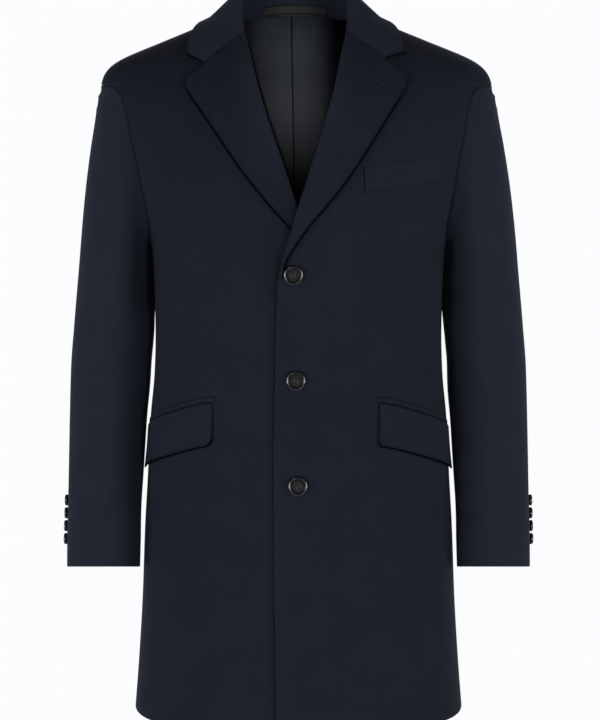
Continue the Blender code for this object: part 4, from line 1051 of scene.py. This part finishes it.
def button_mesh(diameter, height, steps):
    """Turned button: raised round rim, a groove inside it, a hollowed face with four drilled holes."""
    r = diameter / 2
    outline = [
        (0.0, 0.46), (0.20, 0.465), (0.36, 0.48), (0.50, 0.50), (0.56, 0.505), (0.585, 0.46), (0.61, 0.36), (0.65, 0.30), (0.70, 0.30),
        (0.735, 0.36), (0.755, 0.55), (0.77, 0.80), (0.78, 0.90), (0.84, 0.985), (0.855, 0.995), (0.87, 0.985), (0.955, 0.87), (0.975, 0.78),
        (0.99, 0.60), (1.0, 0.40), (0.99, 0.14), (0.95, 0.04), (0.86, 0.0), (0.40, 0.0), (0.0, 0.0),
    ]
    angle = np.linspace(0, 2 * math.pi, steps, endpoint=False)
    points, faces = [(0, 0, outline[0][1] * height)], []
    for a, b in outline[1:-1]:
        points += [(r * a * math.cos(k), r * a * math.sin(k), height * b) for k in angle]
    points.append((0, 0, 0))
    rings = len(outline) - 2
    for k in range(steps):
        faces.append((0, 1 + k, 1 + (k + 1) % steps))
        for i in range(rings - 1):
            a, b = 1 + i * steps + k, 1 + i * steps + (k + 1) % steps
            faces.append((a, a + steps, b + steps, b))
        faces.append((len(points) - 1, 1 + (rings - 1) * steps + (k + 1) % steps, 1 + (rings - 1) * steps + k))
    mesh = bpy.data.meshes.new("button")
    mesh.from_pydata(points, [], faces)
    blank = bpy.data.objects.new("button_blank", mesh)
    bpy.context.scene.collection.objects.link(blank)
    drills = bmesh.new()
    for x, y in HOLES:
        bmesh.ops.create_cone(drills, cap_ends=True, segments=18, radius1=r * HOLE_SIZE, radius2=r * HOLE_SIZE, depth=height * 3, matrix=Matrix.Translation((r * x, r * y, height / 2)))
    drill_mesh = bpy.data.meshes.new("drill")
    drills.to_mesh(drill_mesh)
    drills.free()
    drill = bpy.data.objects.new("button_drill", drill_mesh)
    bpy.context.scene.collection.objects.link(drill)
    cut = blank.modifiers.new("holes", "BOOLEAN")
    cut.object = drill
    cut.solver = "EXACT"
    bpy.context.view_layer.update()
    made = bpy.data.meshes.new_from_object(blank.evaluated_get(bpy.context.evaluated_depsgraph_get()))
    for obj in (blank, drill):
        bpy.data.objects.remove(obj, do_unlink=True)
    made.shade_smooth()
    made.set_sharp_from_angle(angle=math.radians(48))
    made.materials.clear()
    made.materials.append(MATERIALS["button"])
    made.materials.append(MATERIALS["button_face"])
    for polygon in made.polygons:
        polygon.material_index = int(math.hypot(polygon.center.x, polygon.center.y) < r * 0.75)
    return made


def button_thread(diameter, height, gap):
    """Bundles of thread over the face, from hole to hole, and the shank wound under the button."""
    r = diameter / 2
    parts = []
    for x in (HOLES[0][0], HOLES[1][0]):
        for strand in (-1, 0, 1):
            s = np.linspace(-1, 1, 13)
            lift = height * (0.53 + 0.16 * np.sqrt(np.clip(1 - s**2, 0, 1)))
            low = np.where(np.abs(s) > 0.97, height * 0.30, lift)
            parts.append(tube(np.stack((r * x + strand * r * 0.042 + 0 * s, r * HOLES[0][1] * s * 1.04, low), -1), r * 0.030))
    turns = np.linspace(0, 2 * math.pi * 5, 90)
    shank = r * 0.24
    parts.append(tube(np.stack((shank * np.cos(turns), shank * np.sin(turns), -gap - 0.0004 + (gap + 0.0006) * turns / turns[-1]), -1), r * 0.055, 6))
    return joined(parts)


def make_buttons():
    kinds = {"front": (FRONT_BUTTON_D, FRONT_BUTTON_H, 72), "cuff": (CUFF_BUTTON_D, CUFF_BUTTON_H, 48)}
    made = {kind: button_mesh(*sizes) for kind, sizes in kinds.items()}
    threads = {kind: button_thread(sizes[0], sizes[1], BUTTON_SHANK) for kind, sizes in kinds.items()}
    spots = []
    for number, (x, z) in enumerate(FRONT_BUTTONS, 1):
        lift = float(left_lift(x, z)) + BUTTON_SHANK
        at = torso(t_at(x, z), z, lift)
        spots.append((f"front_button_{number}", "front", leaned(at), outward(at)[0], BUTTON_TURNS[number - 1]))
    for number in range(1, 5):
        z = CUFF_BUTTON_LOW_Z + CUFF_BUTTON_PITCH * (4 - number)
        angle = math.radians(CUFF_BUTTON_TURN)
        row = sleeve_row_at(z, angle)
        ring = sleeve_ring(row, np.array((angle, angle + 0.02, angle - 0.02)))
        below = sleeve_ring(row + 0.05, np.array((angle,)))[0]
        out = unit(np.cross(ring[2] - ring[1], below - ring[0]))
        out = out if out[0] > 0 else -out
        at = ring[0] + out * (BUTTON_SHANK + 0.0004)
        for side, sign in (("left", (1, 1, 1)), ("right", (-1, 1, 1))):
            spots.append((f"cuff_button_{side}_{number}", "cuff", leaned(at * np.array(sign)), out * np.array(sign), 11.0 * number))
    for node, kind, at, out, turn in spots:
        place = placed(at, out) @ np.array(Matrix.Rotation(math.radians(turn), 4, "Z"))
        disc = bpy.data.objects.new(node + "_turned", made[kind].copy())
        bpy.context.scene.collection.objects.link(disc)
        disc.data.transform(Matrix(place.tolist()))
        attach(disc, "root")
        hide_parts(node)
        SHOWN.append(disc)
        p, f = threads[kind]
        p = p @ place[:3, :3].T + place[:3, 3]
        mesh_object_of(node + "_thread", p, f, "thread")


def mesh_object_of(name, points, faces, slot):
    mesh = bpy.data.meshes.new(name)
    mesh.from_pydata(points.tolist(), [], faces)
    mesh.polygons.foreach_set("use_smooth", np.ones(len(mesh.polygons), bool))
    mesh.materials.append(MATERIALS[slot])
    obj = bpy.data.objects.new(name, mesh)
    bpy.context.scene.collection.objects.link(obj)
    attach(obj, "root")
    SHOWN.append(obj)
    return obj


def over_cloth(p, x, z, lift):
    """Point that is lift over a grid of cloth facing the front, at x and z on it."""
    flat = p.reshape(-1, 3)
    near = flat[np.argsort((flat[:, 0] - x) ** 2 + (flat[:, 2] - z) ** 2)[:24]]
    dx, dz = near[:, 0] - x, near[:, 2] - z
    fit = np.linalg.lstsq(np.stack((np.ones(len(near)), dx, dz, dx * dx, dx * dz, dz * dz), -1), near[:, 1], rcond=None)[0]
    return np.array((x, fit[0], z)) + unit(np.array((fit[1], -1.0, fit[2]))) * lift


def make_lapel_buttonhole():
    """Purl stitches on both sides of the slit, with a round eye at its outer end and a bar at the other."""
    lapel = leaned(lapel_fine("left", np.linspace(0.0, 0.5, 60), np.linspace(0.02, 1.0, 40)))[:, 11:]
    a, b = np.array(LAPEL_HOLE[0]), np.array(LAPEL_HOLE[1])
    along = unit(b - a)
    beside = np.array((-along[1], along[0]))
    lifts = (-0.0002, 0.0003, 0.0003, -0.0002)
    lines = []
    for k in range(24):
        middle = a + (b - a) * (k + 0.5) / 24
        for sign in (-1, 1):
            stray = 0.00012 * math.sin(k * 2.3 + sign)
            lines.append(([middle + beside * sign * w for w in (0.0002, 0.0005, 0.0008 + stray, 0.0011 + stray)], lifts))
    for k in range(11):
        turn = math.radians(-125 + 250 * k / 10)
        ray = along * math.cos(turn) + beside * math.sin(turn)
        lines.append(([b + along * 0.0008 + ray * w for w in (0.0006, 0.0010, 0.0016, 0.0020)], lifts))
    for k in (-1, 0, 1):
        lines.append(([a - along * (0.0003 + 0.0005 * k) + beside * w for w in (-0.0012, -0.0006, 0.0, 0.0006, 0.0012)], (-0.0002, 0.0003, 0.0005, 0.0003, -0.0002)))
    parts = [tube([over_cloth(lapel, q[0], q[1], lift) for q, lift in zip(line, lifted)], 0.00028, 6) for line, lifted in lines]
    points, faces = joined(parts)
    mesh_object_of("lapel_buttonhole_stitches", points, faces, "stitch")


# ------------------------------------------------------------------ materials
def nodes_of(name):
    made = bpy.data.materials.new(name)
    made.use_nodes = True
    tree = made.node_tree
    return made, tree, tree.nodes["Principled BSDF"]


def node(tree, kind, **settings):
    made = tree.nodes.new(kind)
    for key, value in settings.items():
        if key in made.inputs:
            made.inputs[key].default_value = value
        else:
            setattr(made, key, value)
    return made


def ramp(tree, source, low, high, at=(0.0, 1.0)):
    made = tree.nodes.new("ShaderNodeValToRGB")
    made.color_ramp.elements[0].position, made.color_ramp.elements[1].position = at
    made.color_ramp.elements[0].color, made.color_ramp.elements[1].color = low, high
    tree.links.new(source, made.inputs["Fac"])
    return made.outputs["Color"]


def wool_material():
    """Milled wool: fine twill under a short nap, a little unevenly dyed."""
    made, tree, shader = nodes_of("navy_wool")
    link = tree.links.new
    uv = tree.nodes.new("ShaderNodeUVMap")
    space = tree.nodes.new("ShaderNodeTexCoord")
    twill = node(tree, "ShaderNodeTexWave", wave_type="BANDS", bands_direction="DIAGONAL", Scale=WEAVE_SCALE, Distortion=2.2, Detail=2.0)
    twill.inputs["Detail Scale"].default_value = 1.6
    link(uv.outputs["UV"], twill.inputs["Vector"])
    nap = node(tree, "ShaderNodeTexNoise", Scale=1500.0, Detail=3.0, Roughness=0.65)
    fibre = node(tree, "ShaderNodeTexNoise", Scale=420.0, Detail=4.0, Roughness=0.6)
    cloud = node(tree, "ShaderNodeTexNoise", Scale=22.0, Detail=2.0, Roughness=0.5)
    for texture in (nap, fibre, cloud):
        link(space.outputs["Object"], texture.inputs["Vector"])
    base = ramp(tree, fibre.outputs["Fac"], WOOL_DARK, WOOL_LIGHT, (0.28, 0.72))
    shade = ramp(tree, cloud.outputs["Fac"], (0.94, 0.94, 0.94, 1), (1.05, 1.05, 1.05, 1), (0.3, 0.7))
    mixed = node(tree, "ShaderNodeMix", data_type="RGBA", blend_type="MULTIPLY")
    mixed.inputs["Factor"].default_value = 1.0
    link(base, mixed.inputs["A"])
    link(shade, mixed.inputs["B"])
    weave = node(tree, "ShaderNodeMix", data_type="RGBA", blend_type="MULTIPLY")
    weave.inputs["Factor"].default_value = 1.0
    link(mixed.outputs["Result"], weave.inputs["A"])
    link(ramp(tree, twill.outputs["Fac"], (0.86, 0.86, 0.87, 1), (1.08, 1.08, 1.08, 1)), weave.inputs["B"])
    # painted shade along edges and seams darkens the colour and the shine; painted light and shade per piece scales
    # both
    rim = node(tree, "ShaderNodeAttribute", attribute_name="rim")
    turned = node(tree, "ShaderNodeMix", data_type="RGBA", blend_type="MULTIPLY")
    link(rim.outputs["Fac"], turned.inputs["Factor"])
    link(weave.outputs["Result"], turned.inputs["A"])
    turned.inputs["B"].default_value = (0.06, 0.07, 0.10, 1)
    painted_light = node(tree, "ShaderNodeAttribute", attribute_name="painted_light")
    toned = node(tree, "ShaderNodeVectorMath", operation="SCALE")
    link(turned.outputs["Result"], toned.inputs[0])
    link(painted_light.outputs["Fac"], toned.inputs["Scale"])
    link(toned.outputs["Vector"], shader.inputs["Base Color"])
    bright = node(tree, "ShaderNodeMath", operation="SUBTRACT")
    bright.inputs[0].default_value = 1.0
    link(rim.outputs["Fac"], bright.inputs[1])
    shine = node(tree, "ShaderNodeMath", operation="MULTIPLY")
    link(bright.outputs["Value"], shine.inputs[0])
    link(painted_light.outputs["Fac"], shine.inputs[1])
    for name, level in (("Specular IOR Level", WOOL_SPECULAR), ("Sheen Weight", WOOL_SHEEN)):
        share = node(tree, "ShaderNodeMath", operation="MULTIPLY")
        link(shine.outputs["Value"], share.inputs[0])
        share.inputs[1].default_value = level
        link(share.outputs["Value"], shader.inputs[name])
    height = node(tree, "ShaderNodeMath", operation="MULTIPLY_ADD")
    link(twill.outputs["Fac"], height.inputs[0])
    height.inputs[1].default_value = 0.55
    link(nap.outputs["Fac"], height.inputs[2])
    bump = node(tree, "ShaderNodeBump", Strength=0.22, Distance=0.00022)
    link(height.outputs["Value"], bump.inputs["Height"])
    link(bump.outputs["Normal"], shader.inputs["Normal"])
    rough = node(tree, "ShaderNodeMapRange")
    link(fibre.outputs["Fac"], rough.inputs["Value"])
    rough.inputs["To Min"].default_value, rough.inputs["To Max"].default_value = 0.82, 0.96
    link(rough.outputs["Result"], shader.inputs["Roughness"])
    shader.inputs["Sheen Roughness"].default_value = 0.42
    shader.inputs["Sheen Tint"].default_value = (0.62, 0.70, 0.95, 1)
    return made


def lining_material(name, dark, light, rough, weave, gloss):
    """Satin: fine ribs along the warp, softly glossy across them."""
    made, tree, shader = nodes_of(name)
    link = tree.links.new
    uv = tree.nodes.new("ShaderNodeUVMap")
    space = tree.nodes.new("ShaderNodeTexCoord")
    ribs = node(tree, "ShaderNodeTexWave", wave_type="BANDS", bands_direction="X", Scale=weave, Distortion=0.8, Detail=1.0)
    link(uv.outputs["UV"], ribs.inputs["Vector"])
    stain = node(tree, "ShaderNodeTexNoise", Scale=60.0, Detail=3.0, Roughness=0.55)
    link(space.outputs["Object"], stain.inputs["Vector"])
    # painted shade along the fold and painted shadow towards the sides and bottom darken the colour and the gloss
    rim = node(tree, "ShaderNodeAttribute", attribute_name="rim")
    turned = node(tree, "ShaderNodeMix", data_type="RGBA", blend_type="MULTIPLY")
    link(rim.outputs["Fac"], turned.inputs["Factor"])
    link(ramp(tree, stain.outputs["Fac"], dark, light, (0.3, 0.7)), turned.inputs["A"])
    turned.inputs["B"].default_value = (0.05, 0.05, 0.06, 1)
    painted_light = node(tree, "ShaderNodeAttribute", attribute_name="painted_light")
    toned = node(tree, "ShaderNodeVectorMath", operation="SCALE")
    link(turned.outputs["Result"], toned.inputs[0])
    link(painted_light.outputs["Fac"], toned.inputs["Scale"])
    link(toned.outputs["Vector"], shader.inputs["Base Color"])
    bright = node(tree, "ShaderNodeMath", operation="MULTIPLY_ADD")
    link(rim.outputs["Fac"], bright.inputs[0])
    bright.inputs[1].default_value, bright.inputs[2].default_value = -gloss, gloss
    shine = node(tree, "ShaderNodeMath", operation="MULTIPLY")
    link(bright.outputs["Value"], shine.inputs[0])
    link(painted_light.outputs["Fac"], shine.inputs[1])
    link(shine.outputs["Value"], shader.inputs["Specular IOR Level"])
    bump = node(tree, "ShaderNodeBump", Strength=0.10, Distance=0.0001)
    link(ribs.outputs["Fac"], bump.inputs["Height"])
    link(bump.outputs["Normal"], shader.inputs["Normal"])
    change = node(tree, "ShaderNodeMapRange")
    link(stain.outputs["Fac"], change.inputs["Value"])
    change.inputs["To Min"].default_value, change.inputs["To Max"].default_value = rough - 0.05, rough + 0.06
    link(change.outputs["Result"], shader.inputs["Roughness"])
    return made


def button_material(name, smooth, rough_to, shine):
    """Near-black resin, faintly clouded."""
    made, tree, shader = nodes_of(name)
    link = tree.links.new
    space = tree.nodes.new("ShaderNodeTexCoord")
    cloud = node(tree, "ShaderNodeTexNoise", Scale=240.0, Detail=4.0, Roughness=0.6, Distortion=1.4)
    link(space.outputs["Object"], cloud.inputs["Vector"])
    link(ramp(tree, cloud.outputs["Fac"], BUTTON_DARK, BUTTON_LIGHT, (0.35, 0.68)), shader.inputs["Base Color"])
    rough = node(tree, "ShaderNodeMapRange")
    link(cloud.outputs["Fac"], rough.inputs["Value"])
    rough.inputs["To Min"].default_value, rough.inputs["To Max"].default_value = smooth, rough_to
    link(rough.outputs["Result"], shader.inputs["Roughness"])
    fine = node(tree, "ShaderNodeTexNoise", Scale=1600.0, Detail=2.0)
    link(space.outputs["Object"], fine.inputs["Vector"])
    bump = node(tree, "ShaderNodeBump", Strength=0.06, Distance=0.0002)
    link(fine.outputs["Fac"], bump.inputs["Height"])
    link(bump.outputs["Normal"], shader.inputs["Normal"])
    shader.inputs["Specular IOR Level"].default_value = shine
    return made


def thread_material(name, dark, light, sheen):
    made, tree, shader = nodes_of(name)
    link = tree.links.new
    space = tree.nodes.new("ShaderNodeTexCoord")
    twist = node(tree, "ShaderNodeTexNoise", Scale=2600.0, Detail=2.0, Roughness=0.6)
    link(space.outputs["Object"], twist.inputs["Vector"])
    link(ramp(tree, twist.outputs["Fac"], dark, light, (0.3, 0.7)), shader.inputs["Base Color"])
    bump = node(tree, "ShaderNodeBump", Strength=0.3, Distance=0.0001)
    link(twist.outputs["Fac"], bump.inputs["Height"])
    link(bump.outputs["Normal"], shader.inputs["Normal"])
    shader.inputs["Roughness"].default_value = 0.6
    shader.inputs["Sheen Weight"].default_value = sheen
    shader.inputs["Specular IOR Level"].default_value = 0.2
    return made


# ------------------------------------------------------------------ stage, light, camera
def make_stage():
    world = bpy.data.worlds.new("studio")
    bpy.context.scene.world = world
    world.use_nodes = True
    tree = world.node_tree
    back = tree.nodes["Background"]
    space = tree.nodes.new("ShaderNodeTexCoord")
    split = tree.nodes.new("ShaderNodeSeparateXYZ")
    tree.links.new(space.outputs["Generated"], split.inputs["Vector"])
    height = node(tree, "ShaderNodeMapRange")
    height.inputs["From Min"].default_value = -1.0
    tree.links.new(split.outputs["Z"], height.inputs["Value"])
    levels = tree.nodes.new("ShaderNodeValToRGB")
    levels.color_ramp.interpolation = "EASE"
    levels.color_ramp.elements.new(0.5)
    for element, at, level in zip(levels.color_ramp.elements, (0.1, 0.5, 0.9), (AMBIENT_DOWN, AMBIENT_LEVEL, AMBIENT_UP)):
        element.position = at
        element.color = (0.970 * level, 0.976 * level, 0.990 * level, 1)
    tree.links.new(height.outputs["Result"], levels.inputs["Fac"])
    tree.links.new(levels.outputs["Color"], back.inputs["Color"])
    seen = node(tree, "ShaderNodeBackground", Strength=1.0)
    seen.inputs["Color"].default_value = BACKDROP
    path = tree.nodes.new("ShaderNodeLightPath")
    mix = tree.nodes.new("ShaderNodeMixShader")
    tree.links.new(path.outputs["Is Camera Ray"], mix.inputs["Fac"])
    tree.links.new(back.outputs["Background"], mix.inputs[1])
    tree.links.new(seen.outputs["Background"], mix.inputs[2])
    tree.links.new(mix.outputs["Shader"], tree.nodes["World Output"].inputs["Surface"])

    bm = bmesh.new()
    bmesh.ops.create_circle(bm, cap_ends=True, segments=128, radius=FLOOR_RADIUS)
    mesh = bpy.data.meshes.new("floor")
    bm.to_mesh(mesh)
    bm.free()
    made, tree, shader = nodes_of("pale_floor")
    shader.inputs["Base Color"].default_value = (0.90, 0.905, 0.915, 1)
    shader.inputs["Roughness"].default_value = 0.9
    space = tree.nodes.new("ShaderNodeTexCoord")
    far = node(tree, "ShaderNodeVectorMath", operation="LENGTH")
    tree.links.new(space.outputs["Object"], far.inputs[0])
    fade = node(tree, "ShaderNodeMapRange", interpolation_type="SMOOTHSTEP")
    tree.links.new(far.outputs["Value"], fade.inputs["Value"])
    fade.inputs["From Min"].default_value, fade.inputs["From Max"].default_value = FLOOR_RADIUS * 0.45, FLOOR_RADIUS * 0.98
    fade.inputs["To Min"].default_value, fade.inputs["To Max"].default_value = 1.0, 0.0
    tree.links.new(fade.outputs["Result"], shader.inputs["Alpha"])
    mesh.materials.append(made)
    floor = bpy.data.objects.new("floor", mesh)
    floor.location = (0, 0.0, FLOOR_Z)
    bpy.context.scene.collection.objects.link(floor)


def aimed(at, towards):
    """Frame at a place, looking down its own -Z at another."""
    back = unit(np.array(at) - np.array(towards))
    side = unit(np.cross((0, 0, 1), back))
    place = np.eye(4)
    place[:3, 0], place[:3, 1], place[:3, 2], place[:3, 3] = side, np.cross(back, side), back, at
    return place


def area_light(name, at, towards, width, height, power, colour=(1, 1, 1)):
    data = bpy.data.lights.new(name, "AREA")
    data.shape = "RECTANGLE"
    data.size, data.size_y, data.energy, data.color = width, height, power, colour
    obj = bpy.data.objects.new(name, data)
    bpy.context.scene.collection.objects.link(obj)
    obj.matrix_world = Matrix(aimed(at, towards).tolist())


def make_light_and_camera():
    for row in LIGHTS:
        area_light(*row)
    away = np.linalg.norm(np.array(SPOT_TO) - np.array(SPOT_AT))
    spot = bpy.data.lights.new("neck_spot", "SPOT")
    spot.energy, spot.spot_size, spot.spot_blend, spot.shadow_soft_size = SPOT_WATTS, 2 * math.atan(SPOT_REACH[1] / away), 1.0, 0.05
    spot_place = aimed(SPOT_AT, SPOT_TO)
    spot_place[:3, 0] *= SPOT_REACH[0] / SPOT_REACH[1]
    spot_object = bpy.data.objects.new("neck_spot", spot)
    spot_object.matrix_world = Matrix(spot_place.tolist())
    bpy.context.scene.collection.objects.link(spot_object)
    data = bpy.data.cameras.new("camera")
    data.sensor_fit = "VERTICAL"
    data.sensor_height = 24.0
    data.lens = 24.0 * CAMERA_FOCAL_PX / 720.0
    data.clip_end = 50.0
    camera = bpy.data.objects.new("camera", data)
    camera.location = CAMERA_AT
    camera.rotation_euler = (math.radians(90.0 - CAMERA_PITCH), 0.0, 0.0)
    bpy.context.scene.collection.objects.link(camera)
    bpy.context.scene.camera = camera
    bpy.context.scene.view_settings.view_transform = "Standard"
    bpy.context.scene.view_settings.look = "None"


# ------------------------------------------------------------------ making all of it
MATERIALS = {
    "wool": wool_material(),
    "lining": lining_material("charcoal_satin", LINING_DARK, LINING_LIGHT, 0.58, 900.0, 0.15),
    "loop": lining_material("loop_ribbon", LOOP_DARK, LOOP_LIGHT, 0.60, 700.0, 0.11),
    "button": button_material("button_resin_polished", 0.14, 0.22, 0.80),
    "button_face": button_material("button_resin_dull", 0.50, 0.62, 0.21),
    "thread": thread_material("button_thread", (0.020, 0.021, 0.024, 1), (0.045, 0.047, 0.053, 1), 0.2),
    "stitch": thread_material("hole_stitches", (0.0090, 0.0112, 0.0180, 1), (0.0175, 0.0210, 0.0310, 1), 0.04),
}
make_stage()
make_light_and_camera()
make_fronts()
make_backs()
make_lapels()
make_collar()
make_sleeves()
make_pockets()
make_lining()
make_loop()
make_buttons()
make_lapel_buttonhole()
bpy.context.view_layer.update()
